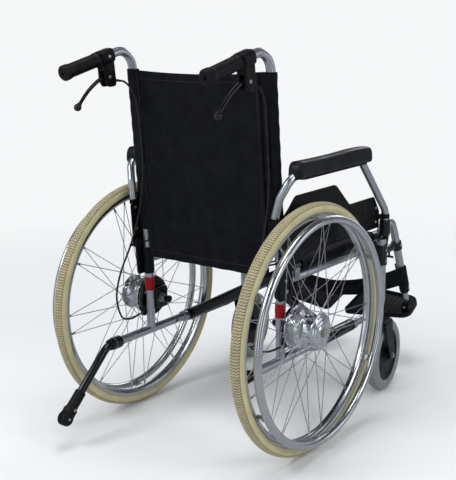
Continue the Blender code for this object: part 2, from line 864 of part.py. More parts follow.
def back_parts(make, side, s, frame_joint):
    """Back tube with its push handle, grip, brake housing, lever and cable."""
    x = s * FRAME_X
    foot_z = POST_TOP_Z + GAP + TUBE_R * BACK_LEAN
    start = at(x, frame_line(foot_z), foot_z)
    corner = at(x, frame_line(BACK_CORNER_Z), BACK_CORNER_Z)
    end_y = HANDLE_END_Y - 0.008
    end = at(x, end_y, handle_line(end_y))
    path = rounded([start, corner, end], HANDLE_BEND_R, 5)
    make.node(f"back_tube_{side}", "silver", [tube(path, TUBE_R, 12)], origin=start, parent=frame_joint)
    along = (end - corner).normalized()
    grip_start = at(x, GRIP_START_Y, handle_line(GRIP_START_Y))
    length = (at(x, HANDLE_END_Y, handle_line(HANDLE_END_Y)) - grip_start).length
    bore = TUBE_R + GAP
    grip = lathe(
        [
            (0, bore),
            (0, GRIP_R + 0.0015),
            (0.008, GRIP_R),
            (length - 0.024, GRIP_R),
            (length - 0.016, GRIP_FLARE_R),
            (length - 0.008, GRIP_FLARE_R),
            (length, GRIP_R * 0.85),
            (length, 0.004),
            (length - 0.006, 0.004),
            (length - 0.006, bore),
        ],
        axis_frame(grip_start, along),
        16,
    )
    make.node(f"grip_{side}", "rubber", [grip], origin=grip_start, parent=frame_joint)
    middle = at(x, HOUSING_Y, handle_line(HOUSING_Y))
    frame = axis_frame(middle, along).to_3x3()
    body = box(middle, (0.036, 0.034, 0.040), frame)
    hole = rod(middle - along * 0.04, middle + along * 0.04, bore, 12)
    pivot = at(x, *LEVER_PIVOT)
    cheeks = box(pivot + Vector((0, -0.004, 0.012)), (0.026, 0.034, 0.044))
    ferrule_top = pivot + Vector((0, -0.018, -0.001))
    ferrule = rod(ferrule_top, at(s * 0.206, HOUSING_Y - 0.030, LEVER_PIVOT[1] - 0.0085), 0.005, 8)
    slot = box(pivot + Vector((0, 0.0085, -0.002)), (0.0126, 0.044, 0.030))
    make.node(
        f"brake_housing_{side}",
        "black",
        [bevelled(body, 0.006, 1), bevelled(cheeks, 0.004, 1), ferrule],
        [hole, slot],
        origin=middle,
        parent=frame_joint,
    )
    lever_joint = make.joint(f"brake_lever_pivot_{side}", pivot, frame_joint)
    ball_at = at(x, *LEVER_BALL)
    bend = [
        pivot + Vector((0, 0.002, -0.001)),
        at(x, LEVER_PIVOT[0] + 0.024, LEVER_PIVOT[1] - 0.006),
        at(x, LEVER_PIVOT[0] + 0.062, LEVER_PIVOT[1] - 0.030),
        ball_at,
    ]
    lever = tube(smooth_path(bend, 3), 0.0050, 8)
    hub = rod(pivot - Vector((0.006, 0, 0)), pivot + Vector((0.006, 0, 0)), 0.0075, ROUND)
    make.node(
        f"brake_lever_{side}",
        "black",
        [lever, hub, ball(ball_at, LEVER_BALL_R, 10, 6)],
        origin=pivot,
        parent=lever_joint,
    )
    route = [at(s * across, back, up) for across, back, up in CABLE_ROUTE]
    make.node(
        f"brake_cable_{side}",
        "cable",
        [tube(smooth_path(route, 4), CABLE_R, 6)],
        origin=route[-1],
        parent=frame_joint,
    )


def armrest(make, side, s, frame_joint):
    """Tube, pad and skirt guard: one body that flips back about the rear bracket's pin."""
    pivot = at(s * (FRAME_X + 0.02), *FLIP_PIVOT)
    flip = make.joint(f"armrest_flip_{side}", pivot, frame_joint)
    pad_mid = s * sum(PAD_X) / 2
    corners = [at(s * ARM_X, SOCKET_Y, SOCKET_Z[1] - 0.006)]
    corners += [at(s * across, back, up) for across, back, up in ARM_BENDS]
    path = rounded(corners, 0.040, 3)
    bend_z = ARM_BENDS[2][2] - 0.005
    widths = [1.0 if p.z > bend_z or p.y < AXLE_Y else 0.72 for p in path]
    plug = rod(
        at(s * ARM_X, SOCKET_Y, SOCKET_Z[0] + 0.008),
        at(s * ARM_X, SOCKET_Y, SOCKET_Z[1] - 0.004),
        ARM_TUBE_R * 0.75,
        8,
        ARM_TUBE_R,
    )
    make.node(
        f"arm_tube_{side}",
        "silver",
        [tube(path, ARM_TUBE_R, 8, widths), plug],
        origin=corners[0],
        parent=flip,
    )
    outline = flat_rounded(
        [
            (PAD_Y[0], PAD_Z),
            (PAD_Y[0], PAD_Z + 0.028),
            (-0.040, PAD_Z + 0.025),
            (-0.130, PAD_Z + 0.029),
            (-0.220, PAD_Z + PAD_T + 0.006),
            (PAD_Y[1], PAD_Z + PAD_T),
            (PAD_Y[1], PAD_Z),
        ],
        [0.004, 0.010, 0.06, 0.06, 0.05, 0.014, 0.006],
        2,
    )
    frame = axes(at(pad_mid, 0, 0), (0, 1, 0), (0, 0, 1))
    pad = bevelled(plate(outline, PAD_X[1] - PAD_X[0], frame), 0.005)
    make.node(f"arm_pad_{side}", "pad", [pad], origin=at(pad_mid, 0, PAD_Z), parent=flip)
    guard = flat_rounded(GUARD_OUTLINE, GUARD_ROUNDS, 3)
    guard_x = ARM_X - ARM_TUBE_R - GAP - GUARD_T / 2
    frame = axes(at(s * guard_x, 0, 0), (0, 1, 0), (0, 0, 1))
    hole_ends = [at(s * (guard_x + shift), *FLIP_PIVOT) for shift in (-0.01, 0.01)]
    hole = rod(*hole_ends, FLIP_PIN_R + RUN, 16)
    make.node(
        f"skirt_guard_{side}",
        "black",
        [plate(guard, GUARD_T, frame)],
        [hole],
        origin=at(s * guard_x, *FLIP_PIVOT),
        parent=flip,
    )


def caster(make, side, s, frame_joint):
    """Fork with its stem, and the small wheel on its axle."""
    post = at(s * COLUMN_X, COLUMN_Y, 0)
    swivel = make.joint(f"caster_swivel_{side}", post + Vector((0, 0, FORK_TOP_Z)), frame_joint)
    yaw = math.radians(CASTER_YAW)
    back = Vector((-math.sin(yaw), math.cos(yaw), 0))
    axle = Vector((math.cos(yaw), math.sin(yaw), 0))
    hub = post + back * CASTER_TRAIL + Vector((0, 0, CASTER_R))
    crown_under = FORK_TOP_Z - 0.006
    stem_top = post + Vector((0, 0, FORK_TOP_Z + STEM_LEN))
    shapes = [rod(post + Vector((0, 0, crown_under)), stem_top, STEM_R, ROUND)]
    crown = flat_rounded(
        [(-0.018, -0.0275), (-0.018, 0.0275), (0.026, 0.0275), (0.026, -0.0275)],
        [0.012, 0.012, 0.006, 0.006],
        3,
    )
    level = axes(post + Vector((0, 0, crown_under + 0.003)), back, axle)
    shapes.append(plate(crown, 0.006, level))
    blade_top = FORK_TOP_Z - 0.001
    blade_low = CASTER_R - 0.013
    blade = flat_rounded(
        [
            (-0.010, blade_top),
            (0.026, blade_top),
            (CASTER_TRAIL + 0.013, blade_low),
            (CASTER_TRAIL - 0.013, blade_low),
        ],
        [0.003, 0.003, 0.012, 0.012],
        3,
    )
    for turn in (-1, 1):
        middle = post + axle * turn * (FORK_INNER + FORK_T / 2)
        shapes.append(plate(blade, FORK_T, axes(middle, back, (0, 0, 1))))
    pin_half = FORK_INNER + FORK_T + 0.003
    shapes.append(rod(hub - axle * pin_half, hub + axle * pin_half, 0.004, 8))
    stem_foot = post + Vector((0, 0, FORK_TOP_Z))
    make.node(f"caster_fork_{side}", "black", shapes, origin=stem_foot, parent=swivel)
    spin = make.joint(f"caster_spin_{side}", hub, swivel)
    frame = axis_frame(hub, axle)
    disc = lathe(
        [
            (-0.021, 0.004 + RUN),
            (-0.021, 0.014),
            (-0.010, 0.018),
            (-0.006, CASTER_RIM_R - 0.012),
            (-0.015, CASTER_RIM_R - 0.003),
            (-0.014, CASTER_RIM_R),
            (0.014, CASTER_RIM_R),
            (0.015, CASTER_RIM_R - 0.003),
            (0.006, CASTER_RIM_R - 0.012),
            (0.010, 0.018),
            (0.021, 0.014),
            (0.021, 0.004 + RUN),
        ],
        frame,
        CASTER_STEPS,
    )
    make.node(f"caster_rim_{side}", "black", [disc], origin=hub, parent=spin)
    tyre = [(-0.0155, CASTER_RIM_R + GAP)]
    for along, radius in (
        (-CASTER_HALF, CASTER_RIM_R + 0.007),
        (-CASTER_HALF, CASTER_R - 0.013),
        (-0.0090, CASTER_R),
        (0.0090, CASTER_R),
        (CASTER_HALF, CASTER_R - 0.013),
        (CASTER_HALF, CASTER_RIM_R + 0.007),
    ):
        tyre.append((along, radius))
    tyre.append((0.0155, CASTER_RIM_R + GAP))
    ring = lathe(tyre, frame, CASTER_STEPS)
    make.node(f"caster_tyre_{side}", "grey_tyre", [ring], origin=hub, parent=spin)


def footrest(make, side, s, frame_joint):
    """Hanger that swings away round the front post, and the footplate that flips up."""
    x = s * FRAME_X
    post = at(x, FRONT_POST_Y, 0)
    swing = make.joint(f"hanger_swing_{side}", post + Vector((0, 0, HANGER_COLLAR_Z[0])), frame_joint)
    up = Vector((0, 0, 1))
    low, high = (post + up * z for z in HANGER_COLLAR_Z)
    collar = rod(low, high, HANGER_COLLAR_R, 16)
    hole = rod(low - up * 0.01, high + up * 0.01, bore_radius(TUBE_R, RUN, 16), 16)
    collar_mid = sum(HANGER_COLLAR_Z) / 2
    low_z = FOOT_SLEEVE_Z[0] + 0.006
    path = rounded(
        [
            at(x, FRONT_POST_Y - TUBE_R - 0.0022, collar_mid),
            at(x, -0.5140, 0.4740),
            at(x, hanger_line(0.430), 0.430),
            at(x, hanger_line(low_z), low_z),
        ],
        0.022,
        4,
    )
    make.node(
        f"hanger_tube_{side}",
        "silver",
        [tube(path, TUBE_R, 10), collar],
        [hole],
        origin=post + up * HANGER_COLLAR_Z[0],
        parent=swing,
    )
    direction = Vector((0, hanger_line(0.3) - hanger_line(0.4), -0.1)).normalized()
    latch_mid = at(x, hanger_line(LATCH_Z), LATCH_Z)
    ring = rod(latch_mid - direction * 0.012, latch_mid + direction * 0.012, TUBE_R + 0.0035, 16)
    reach = at(x, FRONT_POST_Y - TUBE_R - GAP, LATCH_Z)
    tongue = box((reach + latch_mid) / 2, (0.014, (reach - latch_mid).length, 0.018))
    hook = tube(
        [latch_mid + Vector((0, *bend)) for bend in HOOK_BENDS],
        0.003,
        6,
    )
    clear = bore_radius(TUBE_R, GAP, 20)
    bore = rod(latch_mid - direction * 0.06, latch_mid + direction * 0.06, clear, 20)
    make.node(
        f"hanger_latch_{side}",
        "black",
        [ring, tongue, hook],
        [bore],
        origin=latch_mid,
        parent=swing,
    )
    top = at(x, hanger_line(FOOT_SLEEVE_Z[1]), FOOT_SLEEVE_Z[1])
    bottom = at(x, hanger_line(FOOT_SLEEVE_Z[0]), FOOT_SLEEVE_Z[0])
    length = (bottom - top).length
    bore = bore_radius(TUBE_R, GAP, ROUND)
    small = bore_radius(FOOT_TUBE_R, GAP, ROUND)
    sleeve = lathe(
        [
            (0, bore),
            (0, FOOT_SLEEVE_R),
            (length, FOOT_SLEEVE_R),
            (length, small),
            (length - 0.005, small),
            (length - 0.005, bore),
        ],
        axis_frame(top, direction),
        ROUND,
    )
    make.node(f"foot_sleeve_{side}", "black", [sleeve], origin=top, parent=swing)
    tilt = math.radians(PLATE_TILT)
    toe = Vector((0, -math.cos(tilt), math.sin(tilt)))
    plate_up = Vector((0, math.sin(tilt), math.cos(tilt)))
    pin = at(x, hanger_line(FOOT_PIN_Z), FOOT_PIN_Z)
    stub_top = bottom - direction * 0.0055
    foot_tube = rod(stub_top, pin + direction * 0.004, FOOT_TUBE_R, ROUND)
    cross = rod(pin - toe * 0.022, pin + toe * 0.022, FOOT_PIN_R, 12)
    make.node(f"foot_tube_{side}", "silver", [foot_tube, cross], origin=stub_top, parent=swing)
    flip = make.joint(f"footplate_flip_{side}", pin, swing)
    heel = at(s * PLATE_X[0], *PLATE_HEEL)
    frame = axes(heel + plate_up * PLATE_THICK / 2, (s, 0, 0), toe)
    wide = PLATE_X[1] - PLATE_X[0]
    corners = [(0, 0), (wide, 0.037), (wide - 0.012, 0.136), (0, 0.148)]
    radii = [0.014, 0.030, 0.040, 0.020]
    outline = flat_rounded(corners, radii, 3)
    tread = flat_rounded(
        [(0.005, 0.005), (wide - 0.006, 0.0415), (wide - 0.0175, 0.1310), (0.005, 0.1428)],
        [0.010, 0.026, 0.036, 0.016],
        3,
    )
    base = plate(outline, PLATE_THICK, frame)
    pocket_frame = frame.copy()
    pocket_frame.translation = heel + plate_up * (PLATE_THICK + 0.0010)
    pocket = plate(tread, 0.008, pocket_frame)
    lugs = []
    mid_plane = heel + plate_up * PLATE_THICK / 2
    drop = (pin - mid_plane).dot(plate_up)
    for turn in (-1, 1):
        center = pin + toe * turn * 0.0145
        lugs.append(rod(center - toe * 0.0045, center + toe * 0.0045, 0.0085, ROUND))
        middle = center - plate_up * (drop / 2)
        lugs.append(box(middle, (0.017, 0.009, drop), axes((0, 0, 0), (1, 0, 0), toe).to_3x3()))
    pin_hole = rod(pin - toe * 0.04, pin + toe * 0.04, FOOT_PIN_R + RUN, 12)
    make.node(
        f"footplate_{side}",
        "black",
        [base, *lugs],
        [pocket, pin_hole],
        origin=pin,
        parent=flip,
    )


def brace_arm(start_x, ys, reach):
    """The oval members of one brace frame, from its sleeve up to its seat tube."""
    foot = Vector((start_x, 0, RAIL_Z))
    head = Vector((-start_x, 0, SEAT_Z))
    along = (head - foot).normalized()
    shapes = []
    for y in ys:
        a = at(foot.x, y, foot.z)
        b = at(head.x, y, head.z)
        frame = axes((a + b) / 2, along, Vector((0, 1, 0)))
        span = (b - a).length
        outline = flat_rounded(
            [
                (-span / 2 + 0.006, -ARM_T / 2),
                (span / 2 - reach, -ARM_T / 2),
                (span / 2 - reach, ARM_T / 2),
                (-span / 2 + 0.006, ARM_T / 2),
            ],
            [0, 0.005, 0.005, 0],
            2,
        )
        shapes.append(plate(outline, ARM_W, frame))
        shapes.append(rod(b - along * (reach + 0.006), b, 0.0075, 10))
    return shapes


def cross_brace(make, fold, cross):
    """Two frames joined by a bolt; each turns on one bottom rail and carries a seat tube."""
    middle_z = (RAIL_Z + SEAT_Z) / 2
    bolt_far = ARM_B_YS[1] - ARM_T / 2 - 0.006
    bolt_near = ARM_B_YS[0] + ARM_T / 2 + 0.006
    hole_ends = (at(0, bolt_near + 0.01, middle_z), at(0, bolt_far - 0.01, middle_z))
    bolt_hole = rod(*hole_ends, bore_radius(BOLT_R, RUN, ROUND), ROUND)
    for name, s, ys, parent in (("a", -1, (ARM_A_Y,), fold), ("b", 1, ARM_B_YS, cross)):
        x = s * FRAME_X
        shapes = [rod(at(x, SLEEVE_YS[0], RAIL_Z), at(x, SLEEVE_YS[1], RAIL_Z), SLEEVE_R, 16)]
        shapes += brace_arm(x, ys, 0.026)
        shapes.append(
            rod(at(-x, SEAT_TUBE_YS[0], SEAT_Z), at(-x, SEAT_TUBE_YS[1], SEAT_Z), TUBE_R, ROUND)
        )
        rail_ends = (at(x, 0, RAIL_Z), at(x, FRONT_POST_Y, RAIL_Z))
        rail = rod(*rail_ends, bore_radius(TUBE_R, RUN, 16), 16)
        cuts = [rail]
        if name == "b":
            cuts.append(bolt_hole)
        make.node(f"cross_arm_{name}", "black", shapes, cuts, origin=at(x, 0, RAIL_Z), parent=parent)
    spacer = rod(
        at(0, ARM_B_YS[0] - ARM_T / 2 - 0.0006, middle_z),
        at(0, ARM_B_YS[1] + ARM_T / 2 + 0.0006, middle_z),
        0.0085,
        ROUND,
    )
    shaft = rod(at(0, bolt_near, middle_z), at(0, bolt_far, middle_z), BOLT_R, ROUND)
    heads = [
        rod(at(0, bolt_near - 0.0055, middle_z), at(0, bolt_near, middle_z), 0.0085, 6),
        rod(at(0, bolt_far, middle_z), at(0, bolt_far + 0.0055, middle_z), 0.0085, 6),
    ]
    arm = make.parts.objects["cross_arm_a"]
    for index, extra in enumerate((spacer, shaft, *heads)):
        change = arm.modifiers.new(f"bolt_{index}", "BOOLEAN")
        change.operation = "UNION"
        change.solver = "EXACT"
        change.object = make.helper(f"cross_arm_a_bolt_{index}", extra)


def soft_parts(make, frame_joint):
    """Seat sling, back upholstery and calf strap: closed cloth with its sag."""
    wrap_r = TUBE_R + GAP + CLOTH_SLACK + CLOTH_T / 2

    def seat(u, v):
        y = SLING_YS[0] + (SLING_YS[1] - SLING_YS[0]) * v
        edge = 0.18
        if u < edge or u > 1 - edge:
            part = u / edge if u < edge else (1 - u) / edge
            turn = math.radians(-62 + 152 * part)
            x = FRAME_X + wrap_r * math.cos(turn)
            z = SEAT_Z + wrap_r * math.sin(turn)
            return at(-x if u < edge else x, y, z)
        part = (u - edge) / (1 - 2 * edge)
        dip = 4 * part * (1 - part)
        crown = 0.6 + 0.4 * math.sin(math.pi * v)
        z = SEAT_Z + wrap_r - SEAT_SAG * dip * crown
        return at(FRAME_X * (2 * part - 1), y, z)

    make.node(
        "seat_sling",
        "cloth",
        [sheet(seat, 34, 6, CLOTH_T)],
        origin=at(0, sum(SLING_YS) / 2, SEAT_Z),
        parent=frame_joint,
        smooth=70,
    )

    def back(u, v):
        z = BACK_ZS[0] + (BACK_ZS[1] - BACK_ZS[0]) * v
        lean_y = frame_line(z)
        edge = 0.30
        if u < edge or u > 1 - edge:
            part = u / edge if u < edge else (1 - u) / edge
            turn = math.radians(-205 + 295 * part)
            x = FRAME_X + wrap_r * math.cos(turn)
            y = lean_y + wrap_r * math.sin(turn)
            return at(-x if u < edge else x, y, z)
        part = (u - edge) / (1 - 2 * edge)
        across = 2 * part - 1
        dip = 1 - across**2
        swell = 0.010 * math.sin(math.pi * min(1, max(0, v)) ** 0.8)
        fold = 0.0016 * math.sin(7 * math.pi * across) * (1 - v) ** 2
        y = lean_y + wrap_r + (swell + fold) * dip
        sag = 0.008 * dip * v**6
        return at(FRAME_X * across, y, z - sag)

    notches = []
    for s in (-1, 1):
        notches.append(
            box(at(s * 0.222, 0.03, BACK_SLEEVE_Z / 2 + 0.18), (0.076, 0.12, BACK_SLEEVE_Z - 0.36))
        )
    make.node(
        "back_upholstery",
        "cloth",
        [sheet(back, 40, 7, CLOTH_T)],
        notches,
        origin=at(0, frame_line(BACK_ZS[0]), BACK_ZS[0]),
        parent=frame_joint,
        smooth=70,
    )
    loop_r = FOOT_SLEEVE_R + GAP + CLOTH_SLACK + STRAP_T / 2
    slant = 1 / math.cos(math.radians(HANGER_SLOPE))

    def strap(u, v):
        edge = 0.30
        half = STRAP_HALF[0] - (STRAP_HALF[0] - STRAP_HALF[1]) * math.sin(math.pi * u)
        z = STRAP_Z + half * (2 * v - 1)
        if u < edge or u > 1 - edge:
            part = u / edge if u < edge else (1 - u) / edge
            turn = math.radians(-200 + 290 * part)
            x = FRAME_X + loop_r * math.cos(turn)
            y = hanger_line(z) + loop_r * slant * math.sin(turn)
            return at(-x if u < edge else x, y, z)
        part = (u - edge) / (1 - 2 * edge)
        across = 2 * part - 1
        dip = 1 - across**2
        y = hanger_line(z) + loop_r * slant + STRAP_BELLY * dip
        return at(FRAME_X * across, y, z - STRAP_SAG * dip)

    make.node(
        "calf_strap",
        "cloth",
        [sheet(strap, 40, 3, STRAP_T)],
        origin=at(0, hanger_line(STRAP_Z), STRAP_Z),
        parent=frame_joint,
        smooth=70,
    )


def anti_tipper(make, frame_joint):
    """Black tube plugged in the left bottom rail, with a grooved foot on its sliding sleeve."""
    x = FRAME_X
    turn = make.joint("anti_tipper_turn", at(x, TIP_ROOT_Y, RAIL_Z), frame_joint)
    shoulder = RAIL_REAR_Y + GAP
    path = rounded(
        [
            at(x, shoulder + 0.004, RAIL_Z),
            at(x, 0.200, RAIL_Z - 0.002),
            at(x, 0.329, 0.1020),
        ],
        0.045,
        5,
    )
    collar = rod(at(x, shoulder, RAIL_Z), at(x, shoulder + 0.026, RAIL_Z - 0.0005), 0.0148, ROUND)
    slope = (path[-1] - path[-2]).normalized()
    sleeve_top = path[-1] - slope * 0.046
    make.node(
        "anti_tipper_tube",
        "black",
        [tube(path, TIP_TUBE_R, 10), collar],
        origin=at(x, shoulder, RAIL_Z),
        parent=turn,
    )
    clear = bore_radius(TIP_TUBE_R, GAP, ROUND)
    bore = rod(sleeve_top - slope * 0.01, path[-1] + slope * 0.0006, clear, ROUND)
    tip = path[-1] + slope * 0.030
    sleeve = rod(sleeve_top, path[-1] + slope * 0.012, 0.0140, ROUND)
    foot = ball(tip, 0.0185, ROUND, 8)
    neck = rod(path[-1] + slope * 0.006, tip, 0.0135, ROUND, 0.0170)
    make.node(
        "anti_tipper_foot",
        "rubber",
        [sleeve, neck, foot],
        [bore],
        origin=sleeve_top,
        parent=turn,
    )


def end_cap(make, frame_joint):
    """The open black cap on the right bottom rail, where a second anti-tipper would plug in."""
    x = -FRAME_X
    cap = lathe(
        [
            (0, TUBE_R - 0.002),
            (0, 0.0140),
            (0.026, 0.0148),
            (0.030, 0.0135),
            (0.030, 0.0085),
            (0.004, 0.0085),
        ],
        axis_frame(at(x, RAIL_REAR_Y + GAP, RAIL_Z), (0, 1, 0)),
        16,
    )
    button_y = RAIL_REAR_Y + 0.014
    button = rod(at(x - 0.010, button_y, RAIL_Z), at(x - 0.0175, button_y, RAIL_Z), 0.003, 8)
    make.node(
        "rail_end_cap",
        "black",
        [cap, button],
        origin=at(x, RAIL_REAR_Y, RAIL_Z),
        parent=frame_joint,
    )


def main():
    for obj in list(bpy.data.objects):
        bpy.data.objects.remove(obj)
    make = Builder()
    make.look("silver", (0.62, 0.63, 0.66), 0.55, 0.35)
    make.look("bright", (0.75, 0.76, 0.78), 0.9, 0.22)
    make.look("black", (0.022, 0.022, 0.025), 0.0, 0.5)
    make.look("rubber", (0.018, 0.018, 0.02), 0.0, 0.7)
    make.look("pad", (0.02, 0.021, 0.026), 0.0, 0.55)
    make.look("cloth", (0.014, 0.014, 0.018), 0.0, 0.9)
    make.look("cable", (0.012, 0.012, 0.02), 0.0, 0.4)
    make.look("red", (0.55, 0.01, 0.02), 0.0, 0.4)
    make.look("tyre", (0.52, 0.44, 0.24), 0.0, 0.8)
    make.look("grey_tyre", (0.42, 0.43, 0.45), 0.0, 0.7)
    root = make.joint("right_frame", at(-FRAME_X, 0, RAIL_Z))
    fold = make.joint("frame_fold", at(-FRAME_X, 0, RAIL_Z), root)
    cross = make.joint("cross_pivot", at(0, 0, (RAIL_Z + SEAT_Z) / 2), fold)
    left = make.joint("left_rail_pivot", at(FRAME_X, 0, RAIL_Z), cross)
    for side, s, frame_joint in (("R", -1, root), ("L", 1, left)):
        side_frame(make, side, s, frame_joint)
        front_bracket(make, side, s, frame_joint)
        axle_parts(make, side, s, frame_joint)
        wheel_parts(make, side, s, frame_joint)
        back_parts(make, side, s, frame_joint)
        armrest(make, side, s, frame_joint)
        caster(make, side, s, frame_joint)
        footrest(make, side, s, frame_joint)
    cross_brace(make, fold, cross)
    soft_parts(make, root)
    anti_tipper(make, left)
    end_cap(make, root)


main()
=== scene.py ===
"""Looks of a folding wheelchair with attendant drum brakes, built round its packed frame.

Metres, +Z up, the chair faces -Y and its left side is +X. Side "R" is at -X and side "L" at +X.
Lengths along Y are written from the rear axle, as at() reads them. mm() turns rows of millimetres into
metres. A shell is (points, quads, caps): an array of corners, an array of four-cornered faces, and a
list of many-cornered faces.
"""

import math

import bpy
import numpy as np
from mathutils import Matrix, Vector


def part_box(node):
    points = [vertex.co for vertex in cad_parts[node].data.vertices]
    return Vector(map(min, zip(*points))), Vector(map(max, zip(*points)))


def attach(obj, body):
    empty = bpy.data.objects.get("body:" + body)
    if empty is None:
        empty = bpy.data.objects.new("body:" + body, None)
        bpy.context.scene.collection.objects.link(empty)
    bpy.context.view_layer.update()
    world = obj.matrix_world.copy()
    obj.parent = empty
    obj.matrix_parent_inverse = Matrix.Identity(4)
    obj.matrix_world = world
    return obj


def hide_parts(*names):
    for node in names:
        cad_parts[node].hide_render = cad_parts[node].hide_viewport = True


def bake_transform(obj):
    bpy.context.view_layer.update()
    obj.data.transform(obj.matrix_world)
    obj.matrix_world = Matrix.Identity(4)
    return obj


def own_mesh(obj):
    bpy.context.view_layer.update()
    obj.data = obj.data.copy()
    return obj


bl_info = {
    "name": "Folding wheelchair looks",
    "version": (1, 0, 0),
    "blender": (4, 5, 0),
    "location": "View3D > Sidebar > Wheelchair",
    "description": "Makes the finished surfaces of a folding wheelchair round its packed frame",
    "category": "Add Mesh",
}

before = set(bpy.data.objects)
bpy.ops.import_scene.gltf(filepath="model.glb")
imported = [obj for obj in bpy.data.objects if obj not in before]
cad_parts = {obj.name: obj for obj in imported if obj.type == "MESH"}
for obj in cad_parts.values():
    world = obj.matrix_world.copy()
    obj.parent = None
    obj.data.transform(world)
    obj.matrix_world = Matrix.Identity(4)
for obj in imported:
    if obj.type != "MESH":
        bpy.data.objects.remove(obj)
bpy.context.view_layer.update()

X, Y, Z = np.eye(3)
SIDES = (("R", -1), ("L", 1))
FRAME_OF = {"R": "right_frame", "L": "left_frame"}


def corners_of(node):
    """A CAD node's lowest and highest corners as one array."""
    return np.array([tuple(corner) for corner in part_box(node)])


# Places and sizes read from the frame
TYRE_BOX = corners_of("tyre_L")
AXLE_Y = round(corners_of("axle_L")[:, 1].mean(), 5)
WHEEL_R = round(TYRE_BOX[1, 2] / 2, 4)
WHEEL_X = round(TYRE_BOX[:, 0].mean(), 4)
FRAME_X = round(corners_of("back_tube_L")[:, 0].mean(), 4)
TUBE_R = round(np.ptp(corners_of("back_tube_L")[:, 0]) / 2, 4)
PAD_BOX = corners_of("arm_pad_L") - (0, AXLE_Y, 0)

# Frame, y from the rear axle
GAP = 0.0003
RAIL_Z = 0.224
UPPER_RAIL_Z = 0.418
SEAT_Z = 0.446
REAR_POST_Y = 0.032
FRONT_POST_Y = -0.468
RAIL_REAR_Y = 0.153
POST_TOP_Z = 0.437
FRONT_TOP_Z = 0.466
COLUMN_X = FRAME_X + 2 * TUBE_R + 0.001
COLUMN_Y = -0.417
COLUMN_Z = (0.2125, 0.4400)
CASTING_Z = (0.368, 0.4235)
SADDLE_YS = (-0.0205, -0.4455)
RING_Z = (0.333, 0.368)
SLEEVE_YS = (-0.1110, -0.2990)
SEAT_TUBE_YS = (-0.008, -0.4505)
ARM_YS = {"a": (-0.205,), "b": (-0.127, -0.283)}

# Rear wheel: each flange's place on the axle and its radius, the axle's nut, the brake plate's faces
INNER_FLANGE = (-0.0385, 0.0515)
OUTER_FLANGE = (0.0260, 0.0410)
HUB_END = 0.0370
NUT_X = 0.1955
PLATE_XS = (0.2220, 0.2275)
RING_TUBE_R = 0.0095
RING_OUT = 0.0385

# Back and handles
BACK_LEAN = 0.0743
BACK_CORNER_Z = 0.963
HANDLE_DROP = 0.243
HANDLE_END_Y = 0.299
GRIP_START_Y = 0.190
HOUSING_Y = 0.163
LEVER_PIVOT = (0.160, BACK_CORNER_Z - 0.070)
LEVER_BALL = (0.258, BACK_CORNER_Z - 0.135)
CABLE_D = 0.005
CABLE_LOW = WHEEL_R - 0.037
CABLE_ROUTE = (
    (0.2052, 0.1316, 0.8838),
    (0.2000, 0.1050, 0.8770),
    (0.1935, 0.0860, 0.8450),
    (0.1900, 0.0787279, 0.7900),
    (0.1895, 0.0698119, 0.6700),
    (0.1920, 0.0800, 0.5700),
    (0.1960, 0.1080, 0.4800),
    (0.1975, 0.1500, CABLE_LOW + 0.1370),
    (0.1990, 0.1660, CABLE_LOW + 0.0770),
    (0.2050, 0.1450, CABLE_LOW + 0.0200),
    (0.2170, 0.1000, CABLE_LOW),
    (0.22475, 0.0594, CABLE_LOW),
)
CABLE_SHARES = (0, 0.3, 0.8, 1, 1, 0.7, 0.2, 0, 0, 0, 0, 0)
CABLE_DRIFT = {"R": (0.0140, 0), "L": (-0.0115, 0.0040)}
TIE_Z = 0.470

# Armrest, caster, footrest, cloth
ARM_X = 0.2405
ARM_TUBE_R = 0.010
PAD_Z = 2 * WHEEL_R + 0.065
FLIP_PIVOT = (0.045, 0.467)
SOCKET_Y = -0.418
SOCKET_Z = (0.450, 0.495)
CASTER_R = 0.100
CASTER_TRAIL = 0.035
CASTER_YAW = math.radians(187.5)
FORK_TOP_Z = COLUMN_Z[0] - 0.001
HANGER_SLOPE = math.radians(21.5)
HANGER_TOP = (-0.532, 0.445)
HANGER_COLLAR_Z = (0.4455, 0.4630)
FOOT_SLEEVE_Z = (0.242, 0.314)
FOOT_PIN_Z = 0.1975
LATCH_Z = 0.392
PLATE_TILT = math.radians(17)
PLATE_HEEL = (0.0265, -0.570, 0.151)
PLATE_WIDE = 0.201
CLOTH_T = 0.0022
WRAP_R = TUBE_R + GAP + 0.0006 + 0.0015
BACK_ZS = (0.430, BACK_CORNER_Z - 0.055)
SLEEVE_FOOT_Z = 0.500
SEAM_X = 0.180
PANEL_X = SEAM_X + 0.007
SLING_YS = (-0.045, -0.398)
STRAP_Z = 0.293
STRAP_LOOP_R = 0.0145 + 0.0002 + 0.0006
TIP_ROOT_Y = RAIL_REAR_Y + GAP


def at(x, y, z):
    """A point whose y is measured from the rear axle."""
    return np.array((x, AXLE_Y + y, z), float)


def mm(*rows):
    """Rows of millimetres in metres."""
    return np.array(rows, float) / 1000


def unit(vectors):
    """Each vector divided by its length."""
    vectors = np.asarray(vectors, float)
    return vectors / np.linalg.norm(vectors, axis=-1, keepdims=True)


def eased(low, high, value):
    """0 up to low, 1 from high, and the smooth cubic 3t^2 - 2t^3 between."""
    part = np.clip((value - low) / (high - low), 0, 1)
    return part * part * (3 - 2 * part)


def frame_line(z):
    """The y of the leaning back tube at a height."""
    return REAR_POST_Y + (z - POST_TOP_Z) * BACK_LEAN


def handle_point(s, y):
    """The middle of a push handle at a y: its line drops rearwards from the back tube's corner."""
    return at(s * FRAME_X, y, BACK_CORNER_Z - (y - frame_line(BACK_CORNER_Z)) * HANDLE_DROP)


def hanger_line(z):
    """The y of the hanger's middle at a height."""
    return HANGER_TOP[0] - (HANGER_TOP[1] - z) * math.tan(HANGER_SLOPE)


# Shapes


